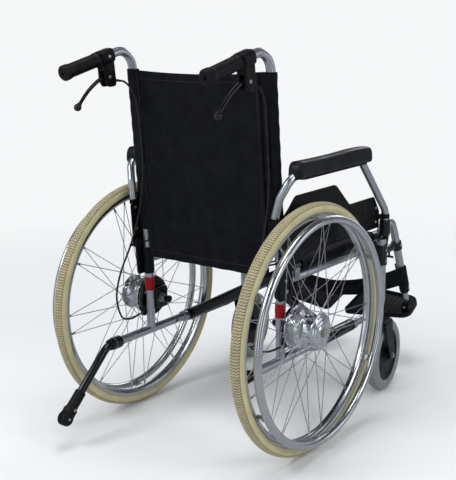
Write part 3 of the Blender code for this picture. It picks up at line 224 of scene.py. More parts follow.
def outward(points, quads, caps=()):
    """The faces turned so that the volume they enclose, a sum of triple products, is positive."""
    fans = [[(cap[0], b, c) for b, c in zip(cap[1:], cap[2:])] for cap in caps]
    triangles = np.concatenate([quads[:, [0, 1, 2]], quads[:, [0, 2, 3]], *fans]).astype(int)
    a, b, c = (points[triangles[:, corner]] - points.mean(0) for corner in range(3))
    if np.einsum("ij,ij->", a, np.cross(b, c)) < 0:
        return points, quads[:, ::-1], [cap[::-1] for cap in caps]
    return points, quads, list(caps)


def grid_faces(rows, columns, wrap_rows=False, wrap_columns=False):
    """Quads between the neighbouring points of a grid, from the index arithmetic of its rows and columns."""
    row, column = np.mgrid[: rows - (not wrap_rows), : columns - (not wrap_columns)]
    below, right = (row + 1) % rows * columns, (column + 1) % columns
    row = row * columns
    return np.stack([row + column, row + right, below + right, below + column], axis=-1).reshape(-1, 4)


def solid(grid, looped=False):
    """A row of closed rings: joined end to start, or closed by a flat cap at each end."""
    rows, columns = grid.shape[:2]
    last = (rows - 1) * columns
    caps = [] if looped else [list(range(columns))[::-1], list(range(last, last + columns))]
    return outward(grid.reshape(-1, 3), grid_faces(rows, columns, looped, True), caps)


def circle(radius, sides, turn=0.0):
    """Radius times the cosine and sine of equal turns."""
    angle = turn + np.arange(sides) * 2 * np.pi / sides
    return radius * np.column_stack([np.cos(angle), np.sin(angle)])


def oval(half_wide, half_tall, sides=24, square=2.6):
    """A superellipse: each coordinate is its half size times the cosine or sine to the power 2 / square."""
    wave = circle(1.0, sides, np.pi / sides)
    return np.sign(wave) * np.abs(wave) ** (2 / square) * (half_wide, half_tall)


def swept(path, ring, side=X, widths=None, looped=False):
    """A section carried along a path: the path's point, plus the section's first length along the side
    made square to the path, plus its second length along the cross product of path and side."""
    path = np.asarray(path, float)
    if looped:
        steps = unit(np.diff(path, axis=0, append=path[:1]))
        ahead = unit(steps + np.roll(steps, 1, 0))
    else:
        steps = unit(np.diff(path, axis=0))
        ahead = unit(np.concatenate([steps[:1], steps[:-1] + steps[1:], steps[-1:]]))
    side = np.broadcast_to(np.asarray(side, float), ahead.shape)
    across = unit(side - (side * ahead).sum(1, keepdims=True) * ahead)
    ring = np.broadcast_to(ring, (len(path), *np.shape(ring)[-2:]))
    if widths is not None:
        ring = ring * np.asarray(widths)[:, None, None]
    up = np.cross(ahead, across)
    return solid(path[:, None] + ring[..., :1] * across[:, None] + ring[..., 1:] * up[:, None], looped)


def bar(path, radius, sides=24, edge=0.0006, side=X, widths=None):
    """A round bar along a path; at both ends its radius closes in by a quarter circle of the edge's size."""
    path = np.asarray(path, float)
    widths = np.ones(len(path)) if widths is None else np.asarray(widths, float)
    turn = np.radians((0, 30, 60, 90))
    step = edge * (1 - np.cos(turn))[:, None]
    share = 1 - edge / radius * (1 - np.sin(turn))
    first = path[0] + unit(path[1] - path[0]) * step
    last = path[-1] - unit(path[-1] - path[-2]) * step[::-1]
    scale = np.concatenate([share * widths[0], widths[1:-1], share[::-1] * widths[-1]])
    return swept(np.concatenate([first, path[1:-1], last]), circle(radius, sides), side, scale)


def bent(corners, radius, steps=8):
    """Corners joined by straight runs, each inner corner replaced by the arc that touches both runs."""
    corners = np.asarray(corners, float)
    path = [corners[:1]]
    for before, corner, after in zip(corners, corners[1:], corners[2:]):
        back, ahead = unit(before - corner), unit(after - corner)
        half = np.arccos(np.clip(back @ ahead, -1, 1)) / 2
        room = 0.48 * min(np.linalg.norm(before - corner), np.linalg.norm(after - corner))
        reach = min(radius / np.tan(half), room)
        arc = reach * np.tan(half)
        middle = corner + unit(back + ahead) * arc / np.sin(half)
        first, last = unit(corner + back * reach - middle), unit(corner + ahead * reach - middle)
        swing = np.pi - 2 * half
        part = np.linspace(0, 1, steps + 1)[:, None]
        turned_by = np.sin((1 - part) * swing) * first + np.sin(part * swing) * last
        path.append(middle + arc * turned_by / np.sin(swing))
    return np.concatenate([*path, corners[-1:]])


def outline(corners, radii, steps=5):
    """A closed flat outline whose corners are arcs of their own radii."""
    corners = np.asarray(corners, float)
    ring = zip(np.roll(corners, 1, 0), corners, np.roll(corners, -1, 0), np.broadcast_to(radii, len(corners)))
    return np.concatenate([bent(three, radius, steps)[1:-1] for *three, radius in ring])


def curve(points, count=4):
    """A Catmull-Rom curve through the points: on each span a cubic set by the four points nearest to it."""
    points = np.asarray(points, float)
    full = np.concatenate([2 * points[:1] - points[1:2], points, 2 * points[-1:] - points[-2:-1]])
    a, b, c, d = (full[i : len(full) - 3 + i, None] for i in range(4))
    t = (np.arange(count) / count)[None, :, None]
    path = b * 2 + (c - a) * t + (2 * a - 5 * b + 4 * c - d) * t**2 + (3 * b - a - 3 * c + d) * t**3
    return np.concatenate([path.reshape(-1, points.shape[1]) / 2, points[-1:]])


def plane_of(axis):
    """Two directions square to an axis, the first level."""
    axis = unit(axis)
    first = np.cross(Z, axis)
    first = unit(first) if np.linalg.norm(first) > 1e-6 else X
    return first, np.cross(axis, first)


def around(axis, turn):
    """The direction away from an axis at each turn in radians."""
    first, second = plane_of(axis)
    turn = np.asarray(turn, float)[..., None]
    return np.cos(turn) * first + np.sin(turn) * second


def softened(profile, radius, closed, steps):
    """Each corner of a profile replaced by a quadratic curve that starts and ends the radius away from it."""
    legs = np.roll(profile, 1, 0) - profile, np.roll(profile, -1, 0) - profile
    reach = np.broadcast_to(radius, len(profile))[:, None]
    shares = [np.minimum(reach / np.linalg.norm(leg, axis=1, keepdims=True), 0.45) for leg in legs]
    start, end = (profile + leg * share for leg, share in zip(legs, shares))
    t = np.linspace(0, 1, steps)[None, :, None]
    arcs = (1 - t) ** 2 * start[:, None] + 2 * t * (1 - t) * profile[:, None] + t**2 * end[:, None]
    if closed:
        return arcs.reshape(-1, 2)
    return np.concatenate([profile[:1], arcs[1:-1].reshape(-1, 2), profile[-1:]])


def turned(profile, centre, axis, steps=48, hollow=False, soft=None, arc=3):
    """A profile of (length along the axis, radius) turned about it, its corners softened by a radius; hollow
    joins its last point to its first."""
    profile = np.asarray(profile, float)
    if soft is not None:
        profile = softened(profile, soft, hollow, arc)
    spin = around(axis, np.arange(steps) * 2 * np.pi / steps)
    return solid(centre + profile[:, :1, None] * unit(axis) + profile[:, 1:, None] * spin, hollow)


def sleeve(start, end, inner, outer, edge=0.0008, steps=40):
    """A hollow round collar between two points, with rounded edges."""
    length = np.linalg.norm(end - start)
    profile = [(0, inner), (0, outer), (length, outer), (length, inner)]
    return turned(profile, start, end - start, steps, True, edge)


def dome(centre, axis, radius, height, steps=24):
    """Half an ellipse turned about its axis, on a flat base."""
    angle = np.radians(np.linspace(0, 88, 8))
    return turned(np.column_stack([height * np.sin(angle), radius * np.cos(angle)]), centre, axis, steps)


def ball(centre, radius, axis, steps=28):
    """A circle's half turned about the axis, its poles closed by a small face."""
    angle = np.radians(np.linspace(-88, 88, 15))
    return turned(radius * np.column_stack([np.sin(angle), np.cos(angle)]), centre, axis, steps)


def screw_head(centre, axis, radius, height):
    """A domed head with a round socket: its profile rises, rolls over and drops into the socket."""
    steps = [(0, 1), (0.45, 1), (0.85, 0.82), (1, 0.55), (1, 0.42), (0.4, 0.40)]
    return turned(np.array(steps) * (height, radius), centre, axis, 16)


def hex_nut(centre, axis, radius, height):
    """A six-sided prism with chamfered corners."""
    return turned(np.array([(0, 0.9), (0.12, 1), (0.88, 1), (1, 0.88)]) * (height, radius), centre, axis, 6)


def plug(centre, axis):
    """A pressed-in tube plug with a low dome."""
    wall = [(0, TUBE_R - 0.0012), (0, TUBE_R - 0.0002), (0.0014, TUBE_R - 0.0004)]
    return turned([*wall, (0.0026, 0.0075), (0.0030, 0.003)], centre, axis, 32)


def place(origin, first, second):
    """A frame at an origin: its first direction, its second made square to it, and their cross product."""
    first = unit(first)
    third = unit(np.cross(first, second))
    return origin, first, np.cross(third, first), third


def wound(loop):
    """An outline with its inside on the left: turned round when the area by cross products is negative."""
    ahead = np.roll(loop, -1, 0)
    return loop[::-1] if (loop[:, 0] * ahead[:, 1] - ahead[:, 0] * loop[:, 1]).sum() < 0 else loop


def inset(loop, amount):
    """An outline moved inwards: each point along the sum of its sides' normals, scaled for the corner."""
    before, after = unit(loop - np.roll(loop, 1, 0)), unit(np.roll(loop, -1, 0) - loop)
    normals = (before + after)[:, ::-1] * (-1, 1)
    size = np.maximum((normals**2).sum(1, keepdims=True), 0.8)
    return loop + normals * (2 / size) * amount


def slab(loop, thickness, where, edge=0.0008):
    """A flat outline thickened both ways along its frame's third direction, its edges a quarter circle."""
    loop = wound(np.asarray(loop, float))
    turn = np.radians((0, 35, 62, 90))
    rings, heights = edge * (1 - np.sin(turn)), edge * (1 - np.cos(turn)) - thickness / 2
    origin, first, second, third = where
    rows = []
    for amount, height in zip([*rings, *rings[::-1]], [*heights, *-heights[::-1]]):
        moved = inset(loop, amount)
        rows.append(origin + moved[:, :1] * first + moved[:, 1:] * second + height * third)
    return solid(np.array(rows))


def block(centre, size, where=(X, Y), edge=0.001, corner=None):
    """A box with rounded corners and edges; where gives its first two directions."""
    wide, tall = np.array(size[:2]) / 2
    loop = outline([(-wide, -tall), (wide, -tall), (wide, tall), (-wide, tall)], corner or edge, 3)
    return slab(loop, size[2], place(np.asarray(centre, float), *where), edge)


def weld(centre, along, across, radius):
    """A weld round a tube that ends on another of its size: a rippled bead on the saddle where they meet,
    whose height is the root of the radius squared less the sideways part squared."""
    turn = np.arange(72) * 2 * np.pi / 72
    sideways = 0.985 * radius * np.sin(turn)[:, None]
    path = centre + np.cos(turn)[:, None] * radius * across + sideways * np.cross(along, across)
    path += np.sqrt(radius**2 - sideways**2) * along
    return swept(path, circle(0.0017, 8), along, 1 + 0.14 * np.sin(36 * turn), True)


def stitches(path, lift, pitch=0.0044, length=0.0030, radius=0.00038):
    """Thread stitches along a path: one short bar each pitch, which rises and dips back in a low arc."""
    path = np.asarray(path, float)
    along = np.concatenate([[0], np.cumsum(np.linalg.norm(np.diff(path, axis=0), axis=1))])
    spots = np.arange(pitch / 2, along[-1] - length, pitch)[:, None] + np.linspace(0, length, 3)
    points = np.stack([np.interp(spots, along, path[:, i]) for i in range(3)], axis=-1)
    points += unit(lift) * (radius * np.array((-0.3, 0.8, -0.3)))[:, None]
    return [swept(stitch, circle(radius, 5), lift) for stitch in points]


def cloth(points, thickness):
    """A closed cloth round a grid of points: each point is moved half the thickness either way along the
    cross product of the grid's two slopes, and strips close its four borders."""
    rows, columns = points.shape[:2]
    slopes = np.gradient(points, axis=0), np.gradient(points, axis=1)
    shift = unit(np.cross(*slopes)) * np.broadcast_to(thickness, (rows, columns))[..., None] / 2
    count = rows * columns
    face = grid_faces(rows, columns)
    index = np.arange(count).reshape(rows, columns)
    borders = []
    for edge in (index[0], index[-1, ::-1], index[::-1, 0], index[:, -1]):
        a, b = edge[:-1], edge[1:]
        borders.append(np.column_stack([b, a, a + count, b + count]))
    both = np.concatenate([(points + shift).reshape(-1, 3), (points - shift).reshape(-1, 3)])
    return outward(both, np.concatenate([face, face[:, ::-1] + count, *borders]))


def hemmed(points, thickness, hem_rows, more=1.7):
    """A cloth's thickness at each grid point: more of it along the first and last rows."""
    row = np.arange(len(points))
    edge = np.minimum(row, row[::-1]) < hem_rows
    return thickness * np.where(edge, more, 1.0)[:, None]


def lengths(points):
    """A cloth's own coordinates in metres: how far each point is along its row and its column."""
    across = np.linalg.norm(np.diff(points, axis=1), axis=2).mean(0)
    along = np.linalg.norm(np.diff(points, axis=0), axis=2).mean(1)
    u, v = (np.concatenate([[0], np.cumsum(step)]) for step in (across, along))
    flat = np.stack(np.meshgrid(u, v), axis=-1).reshape(-1, 2)
    return np.concatenate([flat, flat])


def piece(name, shells, look, body, replaces=(), slot=None, smooth=38, uv=None, **values):
    """One object from shells: its mesh, smooth shading with sharp edges, its finish, and what it rides on."""
    shells = [shells] if isinstance(shells, tuple) else list(shells)
    starts = np.cumsum([0] + [len(points) for points, _, _ in shells])
    faces = []
    for start, (_, quads, caps) in zip(starts, shells):
        faces += (quads + start).tolist()
        faces += [[int(corner + start) for corner in cap] for cap in caps]
    mesh = bpy.data.meshes.new(name)
    mesh.from_pydata(np.concatenate([points for points, _, _ in shells]), [], faces)
    mesh.shade_smooth()
    mesh.set_sharp_from_angle(angle=math.radians(smooth))
    for attribute, numbers in values.items():
        layer = mesh.attributes.new(attribute, "FLOAT", "POINT")
        layer.data.foreach_set("value", np.asarray(numbers, np.float32).ravel())
    if uv is not None:
        corner = np.empty(len(mesh.loops), np.int32)
        mesh.loops.foreach_get("vertex_index", corner)
        mesh.uv_layers.new(name="Metres").uv.foreach_set("vector", uv[corner].astype(np.float32).ravel())
    mesh.materials.append(finish(look))
    made = bpy.data.objects.new(name, mesh)
    bpy.context.scene.collection.objects.link(made)
    if body:
        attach(made, body)
    if replaces:
        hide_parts(*replaces)
    return made


def fabric(name, points, thickness, body, replaces=()):
    """A nylon piece round a grid of points, its weave laid out in the cloth's own metres."""
    return piece(name, cloth(points, thickness), "nylon", body, replaces, smooth=60, uv=lengths(points))


# Finishes


class Finish:
    """A Principled material, with short calls for the nodes that vary it over the surface."""

    def __init__(self, name, colour, metallic=0.0, roughness=0.5, **constants):
        self.material = bpy.data.materials.new(name)
        self.material.use_nodes = True
        self.tree = self.material.node_tree
        self.shader = self.tree.nodes["Principled BSDF"]
        self.base = tuple(colour)
        constants |= {"Base Color": (*self.base, 1), "Metallic": metallic, "Roughness": roughness}
        for socket, value in constants.items():
            self.shader.inputs[socket.replace("_", " ")].default_value = value
        self.place = self.tree.nodes.new("ShaderNodeTexCoord").outputs["Object"]
        self.normal = None

    def node(self, kind, inputs, **settings):
        made = self.tree.nodes.new("ShaderNode" + kind)
        for setting, value in settings.items():
            setattr(made, setting, value)
        for socket, value in inputs.items():
            if isinstance(value, bpy.types.NodeSocket):
                self.tree.links.new(value, made.inputs[socket])
            else:
                made.inputs[socket].default_value = value
        return made

    def noise(self, scale, detail, stretch=(1, 1, 1)):
        """Noise on Object coordinates, its grain drawn out along an axis by a small stretch there."""
        vector = self.node("Mapping", {"Vector": self.place, "Scale": stretch}).outputs[0]
        return self.node("TexNoise", {"Vector": vector, "Scale": scale, "Detail": detail}).outputs[0]

    def cells(self, scale):
        """How far a point is from the border of its Voronoi cell, as in skin or moulded grain."""
        settings = {"feature": "DISTANCE_TO_EDGE"}
        return self.node("TexVoronoi", {"Vector": self.place, "Scale": scale}, **settings).outputs["Distance"]

    def attribute(self, name):
        return self.node("Attribute", {}, attribute_name=name).outputs["Fac"]

    def math(self, operation, first, second=0.0):
        return self.node("Math", {0: first, 1: second}, operation=operation).outputs[0]

    def away(self, vector, axes):
        """A vector's length when only the axes marked by 1 count."""
        flat = self.node("VectorMath", {0: vector, 1: axes}, operation="MULTIPLY").outputs[0]
        return self.node("VectorMath", {0: flat}, operation="LENGTH").outputs["Value"]

    def spread(self, value, low, high, start=0.35, stop=0.65):
        """The value from start to stop taken to low to high."""
        limits = {"From Min": start, "From Max": stop, "To Min": low, "To Max": high}
        return self.node("MapRange", {"Value": value, **limits}).outputs[0]

    def mixed(self, share, first, second):
        """A colour between two, each a tuple or a socket."""
        first, second = ((*c, 1) if isinstance(c, tuple) else c for c in (first, second))
        return self.node("Mix", {0: share, 6: first, 7: second}, data_type="RGBA").outputs[2]

    def colour(self, socket):
        self.tree.links.new(socket, self.shader.inputs["Base Color"])
        return self

    def patches(self, second, scale, detail, start=0.35, stop=0.65):
        """The base colour, turned to a second one where a noise goes from start to stop."""
        share = self.spread(self.noise(scale, detail), 0, 1, start, stop)
        return self.colour(self.mixed(share, self.base, second))

    def rough(self, scale, detail, low, high):
        """A roughness between low and high, by a noise."""
        share = self.spread(self.noise(scale, detail), low, high)
        self.tree.links.new(share, self.shader.inputs["Roughness"])
        return self

    def bump(self, height, distance, strength=1.0):
        inputs = {"Height": height, "Distance": distance, "Strength": strength}
        if self.normal:
            inputs["Normal"] = self.normal
        self.normal = self.node("Bump", inputs).outputs[0]
        self.tree.links.new(self.normal, self.shader.inputs["Normal"])
        return self

    def grain(self, scale, detail, distance, strength=1.0, stretch=(1, 1, 1)):
        """Bumps by a noise."""
        return self.bump(self.noise(scale, detail, stretch), distance, strength)


def toned(colour, share):
    """A colour times a share."""
    return tuple(share * part for part in colour)


def silver_paint(name):
    """Metallic silver paint: fine flake, a little orange peel, and dull patches where it is rubbed."""
    base = scene_settings("wheelchair_frame").tube_colour
    made = Finish(name, base, 0.90, Coat_Weight=0.25, Coat_Roughness=0.12)
    made.patches(toned(base, 0.88), 9, 5, 0.42, 0.68).rough(14, 6, 0.25, 0.35)
    return made.grain(420, 2, 0.00002).grain(2600, 1, 0.000006)


def polished_metal(name):
    """Polished aluminium: near mirror, with fine scratches round the wheel and grey bloom."""
    made = Finish(name, (0.60, 0.62, 0.65), 1.0)
    made.patches((0.53, 0.55, 0.58), 26, 6, 0.45, 0.72).rough(60, 6, 0.17, 0.25)
    return made.grain(900, 2, 0.000002, stretch=(4, 1, 1))


def turned_metal(name):
    """Bright turned aluminium: rings left by the lathe, a sine of the distance from the axle, and stains."""
    made = Finish(name, (0.66, 0.68, 0.72), 1.0)
    centred = made.node("Mapping", {"Vector": made.place, "Location": (0, -AXLE_Y, -WHEEL_R)}).outputs[0]
    rings = made.math("SINE", made.math("MULTIPLY", made.away(centred, (0, 1, 1)), 9000.0))
    made.patches((0.60, 0.62, 0.66), 70, 5, 0.46, 0.7).rough(70, 5, 0.13, 0.19)
    return made.bump(rings, 0.0000005).grain(500, 2, 0.000001)


def plated_steel(name):
    """Zinc plate: cool grey with a fine crystal mottle and soft dull patches."""
    made = Finish(name, (0.50, 0.51, 0.53), 1.0)
    made.patches((0.38, 0.38, 0.39), 240, 4).rough(110, 4, 0.22, 0.45)
    return made.bump(made.cells(900), 0.000008)


def moulded_black(name):
    """Black moulded plastic: a fine spark-eroded grain, lighter where it is rubbed."""
    made = Finish(name, (0.0035, 0.0037, 0.0048), Specular_IOR_Level=0.15)
    made.patches((0.008, 0.008, 0.010), 34, 5, 0.5, 0.75).rough(60, 4, 0.34, 0.50)
    return made.grain(1700, 2, 0.00002)


def coated_black(name):
    """Black powder coat: the rolling orange peel of baked paint, with a gloss and dust."""
    made = Finish(name, (0.005, 0.005, 0.006), Specular_IOR_Level=0.42)
    made.patches((0.010, 0.010, 0.012), 12, 6, 0.5, 0.78).rough(30, 5, 0.11, 0.20)
    return made.grain(800, 2, 0.000012)


def grip_rubber(name):
    """Matt black rubber: a dense grain, greyer where hands have worn it."""
    made = Finish(name, (0.004, 0.004, 0.005), Specular_IOR_Level=0.2)
    made.patches((0.009, 0.009, 0.010), 45, 5, 0.48, 0.75).rough(80, 4, 0.40, 0.60)
    return made.grain(1300, 3, 0.00003)


def pad_skin(name):
    """The armrest's foam skin: small cells of leather grain, satin where elbows have polished it."""
    made = Finish(name, (0.0035, 0.0042, 0.0080), Specular_IOR_Level=0.22)
    made.patches((0.007, 0.0085, 0.014), 16, 5, 0.45, 0.75).rough(18, 4, 0.33, 0.52)
    return made.bump(made.cells(650), 0.00010, 0.8).grain(1800, 2, 0.00001)


def khaki_tyre(name):
    """Khaki rubber: the crown is browner than the sidewalls, and dirt fills the cut tread."""
    settings = scene_settings("wheelchair_wheels")
    side, crown, dirt = map(tuple, (settings.tyre_colour, settings.crown_colour, settings.groove_colour))
    made = Finish(name, side)
    walls = made.mixed(made.spread(made.noise(24, 6), 0, 1, 0.4, 0.7), side, toned(side, 0.84))
    soiled = made.mixed(made.spread(made.noise(60, 5), 0, 1, 0.4, 0.65), crown, toned(crown, 0.82))
    made.colour(made.mixed(made.attribute("cut"), made.mixed(made.attribute("crown"), walls, soiled), dirt))
    return made.rough(90, 4, 0.52, 0.74).grain(1100, 3, 0.00004)


def grey_rubber(name):
    """Grey caster tyre: marked darker by the floor, with faint bloom."""
    made = Finish(name, (0.23, 0.235, 0.245))
    made.patches((0.195, 0.20, 0.21), 70, 6, 0.42, 0.66).rough(60, 4, 0.42, 0.62)
    return made.grain(900, 3, 0.00004)


def woven_nylon(name):
    """Black coated nylon: a plain weave in the cloth's own metres, the product of two sines of its threads,
    with a soft cloudiness, worn lighter along ridges."""
    settings = scene_settings("wheelchair_cloth")
    base = tuple(settings.cloth_colour)
    made = Finish(name, base, Specular_IOR_Level=0.14)
    uv = made.node("UVMap", {}, uv_map="Metres").outputs[0]
    axes = made.node("SeparateXYZ", {"Vector": uv}).outputs
    count = 2 * math.pi / settings.thread_pitch
    warp, weft = (made.math("SINE", made.math("MULTIPLY", axis, count)) for axis in (axes[0], axes[1]))
    weave = made.math("MULTIPLY", warp, weft)
    threads = made.mixed(made.spread(weave, 0, 1, -1, 1), base, toned(base, 1.5))
    cloud = made.spread(made.noise(15, 6), 0, 1, 0.45, 0.72)
    made.colour(made.mixed(cloud, threads, toned(base, 1.6))).rough(35, 5, 0.62, 0.85)
    return made.bump(weave, 0.00012, 0.6).grain(260, 4, 0.00025, 0.5)


def sewing_thread(name):
    """Twisted nylon thread: a slant ripple along it."""
    made = Finish(name, (0.045, 0.046, 0.052), roughness=0.55)
    return made.patches((0.025, 0.025, 0.03), 900, 2, 0, 1).grain(2600, 1, 0.00008)


def red_gloss(name):
    """Glossy red plastic, with faint scuffs."""
    made = Finish(name, (0.27, 0.002, 0.008), Specular_IOR_Level=0.2)
    made.patches((0.20, 0.002, 0.007), 90, 5, 0.5, 0.8).rough(140, 4, 0.20, 0.38)
    return made.grain(700, 2, 0.000006)


def cable_sheath(name):
    """Glossy black sheath, its surface a little uneven."""
    made = Finish(name, (0.005, 0.005, 0.007), Specular_IOR_Level=0.35)
    made.patches((0.008, 0.008, 0.010), 120, 4, 0, 1).rough(150, 3, 0.18, 0.36)
    return made.grain(500, 2, 0.00001)


# Each look's material and its usual slot
LOOKS = {
    "silver": (silver_paint, "silver_tube"),
    "polished": (polished_metal, "rim_metal"),
    "turned": (turned_metal, "hub_metal"),
    "steel": (plated_steel, "steel"),
    "moulded": (moulded_black, "black_plastic"),
    "coated": (coated_black, "black_metal"),
    "rubber": (grip_rubber, "grip_rubber"),
    "pad": (pad_skin, "arm_pad"),
    "khaki": (khaki_tyre, "tan_tyre"),
    "grey": (grey_rubber, "grey_tyre"),
    "nylon": (woven_nylon, "black_cloth"),
    "thread": (sewing_thread, "black_cloth"),
    "red": (red_gloss, "red_ring"),
    "sheath": (cable_sheath, "cable_sheath"),
}


def finish(look):
    """The named finish, made the first time that a piece asks for it."""
    name = f"wheelchair_{look}"
    return bpy.data.materials.get(name) or LOOKS[look][0](name).material


def scene_settings(group):
    return getattr(bpy.context.scene, group)


# Wheels


def make_tyre(d, centre, axis):
    """A circle section turned about the axle, its tread band cut by a zigzag. The cut is deepest where the
    turn, counted in pitches and shifted by a triangle wave across the crown, is half whole."""
    sizes = scene_settings("wheelchair_wheels")
    half, pitches, lip = sizes.tyre_half, sizes.tread_pitches, 0.0102
    steps = 8 * pitches
    degrees = np.concatenate([np.linspace(-112, -63, 6), np.linspace(-56, 56, 23), np.linspace(63, 112, 6)])
    crown = 1 - eased(53, 60, np.abs(degrees))
    turn = np.arange(steps) / steps
    zigzag = np.abs((degrees / 28 + 0.5) % 1 * 2 - 1)
    phase = (turn[:, None] * pitches + 0.55 * zigzag) % 1
    cut = np.clip((0.23 - np.abs(phase - 0.5)) / 0.12, 0, 1) * (np.abs(degrees) < 50)
    cut = np.maximum(cut, (np.abs(np.abs(degrees) - 51) < 2.6) * 0.8)
    reach = half - (0.0014 * cut + 0.0006 * (1 - crown))
    angle = np.radians(degrees)
    section = np.stack([reach * np.sin(angle), WHEEL_R - half + reach * np.cos(angle)], axis=-1)
    edge = WHEEL_R - 2 * half + 0.0085
    seat = np.array([(lip, edge), (lip, edge - 0.0064), (-lip, edge - 0.0064), (-lip, edge)])
    section = np.concatenate([section, np.broadcast_to(seat, (steps, 4, 2))], axis=1)
    grid = centre + section[..., :1] * axis + section[..., 1:] * around(axis, turn * 2 * np.pi)[:, None]
    shell = outward(grid.reshape(-1, 3), grid_faces(*grid.shape[:2], True, True))
    cut, crown = (np.pad(np.broadcast_to(part, phase.shape), ((0, 0), (0, 4))) for part in (cut, crown))
    piece(f"tyre_tread_{d}", shell, "khaki", f"rear_wheel_{d}", [f"tyre_{d}"], smooth=60, cut=cut,
          crown=crown)


def rim_radii():
    """The rim's outer edge, its well and its inner wall, from the tyre's size."""
    edge = WHEEL_R - 2 * scene_settings("wheelchair_wheels").tyre_half + 0.0082
    return edge, edge - 0.0067, edge - 0.0157


def make_rim(d, centre, axis):
    """A hollow ring: one side of its bed and of its wall, each mirrored to the other side."""
    edge, well, inner = rim_radii()
    lip = edge + 0.0004
    bed = np.array([(0.0125, lip), (0.0104, lip), (0.0104, edge - 0.0022), (0.0098, well + 0.0012),
                    (0.0055, well - 0.0012)])
    wall = np.array([(0.0050, inner), (0.0079, inner + 0.0030), (0.0116, inner + 0.0085),
                     (0.0125, edge - 0.0045)])
    profile = np.concatenate([bed * (-1, 1), bed[::-1], wall[::-1], wall * (-1, 1)])
    rim = turned(profile, centre, axis, 216, True, 0.0011)
    piece(f"rim_ring_{d}", rim, "polished", f"rear_wheel_{d}", [f"rim_{d}"], smooth=50)


def spoke_points(centre, axis):
    """Each spoke's head, elbow and tip: it leaves a face of its flange and leans by the lacing to the rim."""
    sizes = scene_settings("wheelchair_wheels")
    half = sizes.spokes // 2
    pitch = 2 * np.pi / half
    rank = np.tile(np.arange(half), 2)
    inner = np.repeat((True, False), half)
    lean = np.where(rank % 2, 1, -1)
    flange_x, flange_r = (np.where(inner, *pair) for pair in zip(INNER_FLANGE, OUTER_FLANGE))
    hub_turn = pitch * rank + np.where(inner, 0, pitch / 2)
    root = centre + flange_r[:, None] * around(axis, hub_turn)
    head, elbow = (root + (flange_x + way * lean * 0.0024)[:, None] * axis for way in (-1, 1))
    tip = centre + (rim_radii()[2] + 0.0008) * around(axis, hub_turn + lean * pitch * sizes.lacing)
    return head, elbow, tip + np.where(inner, -0.0025, 0.0025)[:, None] * axis, lean


def make_spokes(d, centre, axis):
    wires, nipples = [], []
    body = f"rear_wheel_{d}"
    nipple = mm((-0.5, 2.6), (1.2, 2.6), (2.2, 1.9), (12, 1.7), (13, 1.2))
    for start, bend, end, side in zip(*spoke_points(centre, axis)):
        inward = unit(bend - end)
        wires.append(swept(bent([start, bend, end], 0.0024, 4), circle(0.0010, 8), np.cross(axis, inward)))
        wires.append(dome(start - axis * side * 0.0002, -axis * side, 0.0021, 0.0012, 10))
        nipples.append(turned(nipple, end, inward, 8))
    foot = around(axis, math.radians(172)) * (rim_radii()[2] + 0.001)
    valve = mm((0, 4.2), (2.2, 4.2), (2.6, 3), (18, 3), (18.5, 3.8), (30, 3.6), (31, 2.8))
    nipples.append(turned(valve, centre + foot, -foot, 18))
    piece(f"spokes_{d}", wires, "steel", body, [f"hub_{d}"])
    piece(f"nipples_{d}", nipples, "steel", body)


def make_hub(d, centre, axis):
    """The drum with its ribs, two flanges, the barrel between them and the stepped outer cap."""
    rib = ((0, 48.4), (1.6, 48.4), (2.0, 46.6), (3.1, 46.6))
    ribs = [(start + x, r) for start in np.arange(-34.5, -20, 3.5) for x, r in rib]
    profile = mm((-44.5, 43.7), (-44.5, 48.4), (-40.2, 48.4), (-40, 55), (-37, 55), (-36.6, 48.4), *ribs,
                 (-18, 48), (-11, 35.2), (-2, 32.5), (24, 33), (24.5, 44.5), (27.5, 44.5), (27.9, 37.2),
                 (30.5, 36.5), (31.2, 30), (33.5, 29), (34.5, 21.5), (36.8, 19.5), (37, 6.8), (-18, 6.8),
                 (-18, 43.7))
    shells = [turned(profile, centre, axis, 96, True, 0.0005)]
    shells += [screw_head(centre + out * 0.0250 + axis * 0.0338, axis, 0.0026, 0.0018)
               for out in around(axis, np.radians(np.arange(6) * 60 + 15))]
    piece(f"hub_shell_{d}", shells, "turned", f"rear_wheel_{d}", [f"hub_{d}"], smooth=32)


def make_push_rim(d, centre, axis):
    """A tube ring and its tabs: each foot lies on the rim's side and bends out to the ring."""
    major, near = rim_radii()[0] - 0.0116, RING_OUT - RING_TUBE_R
    ring = turned(circle(RING_TUBE_R, 24) + (RING_OUT, major), centre, axis, 216, True)
    piece(f"push_ring_{d}", ring, "polished", f"rear_wheel_{d}", [f"push_rim_{d}"])
    tab = [(0.0126, 0.2779), (0.0126, 0.2689), (0.0180, 0.2682), (near + 0.0012, major)]
    shells = []
    for out in around(axis, (np.arange(6) + 0.5) * np.pi / 3):
        path = bent([centre + axis * a + out * r for a, r in tab], 0.0035, 5)
        seat = centre + axis * (near + 0.0002) + out * major
        shells += [swept(path, oval(0.0075, 0.0013, 20, 6), np.cross(axis, out)),
                   turned(mm((-1.6, 8.8), (-0.4, 7.8), (1, 5)), seat, axis, 20),
                   screw_head(centre + axis * 0.0136 + out * 0.2739, axis, 0.0032, 0.0022)]
    piece(f"push_ring_tabs_{d}", shells, "steel", f"rear_wheel_{d}")


def rear_wheels():
    for d, s in SIDES:
        for make in (make_tyre, make_rim, make_hub, make_spokes, make_push_rim):
            make(d, at(s * WHEEL_X, 0, WHEEL_R), s * X)


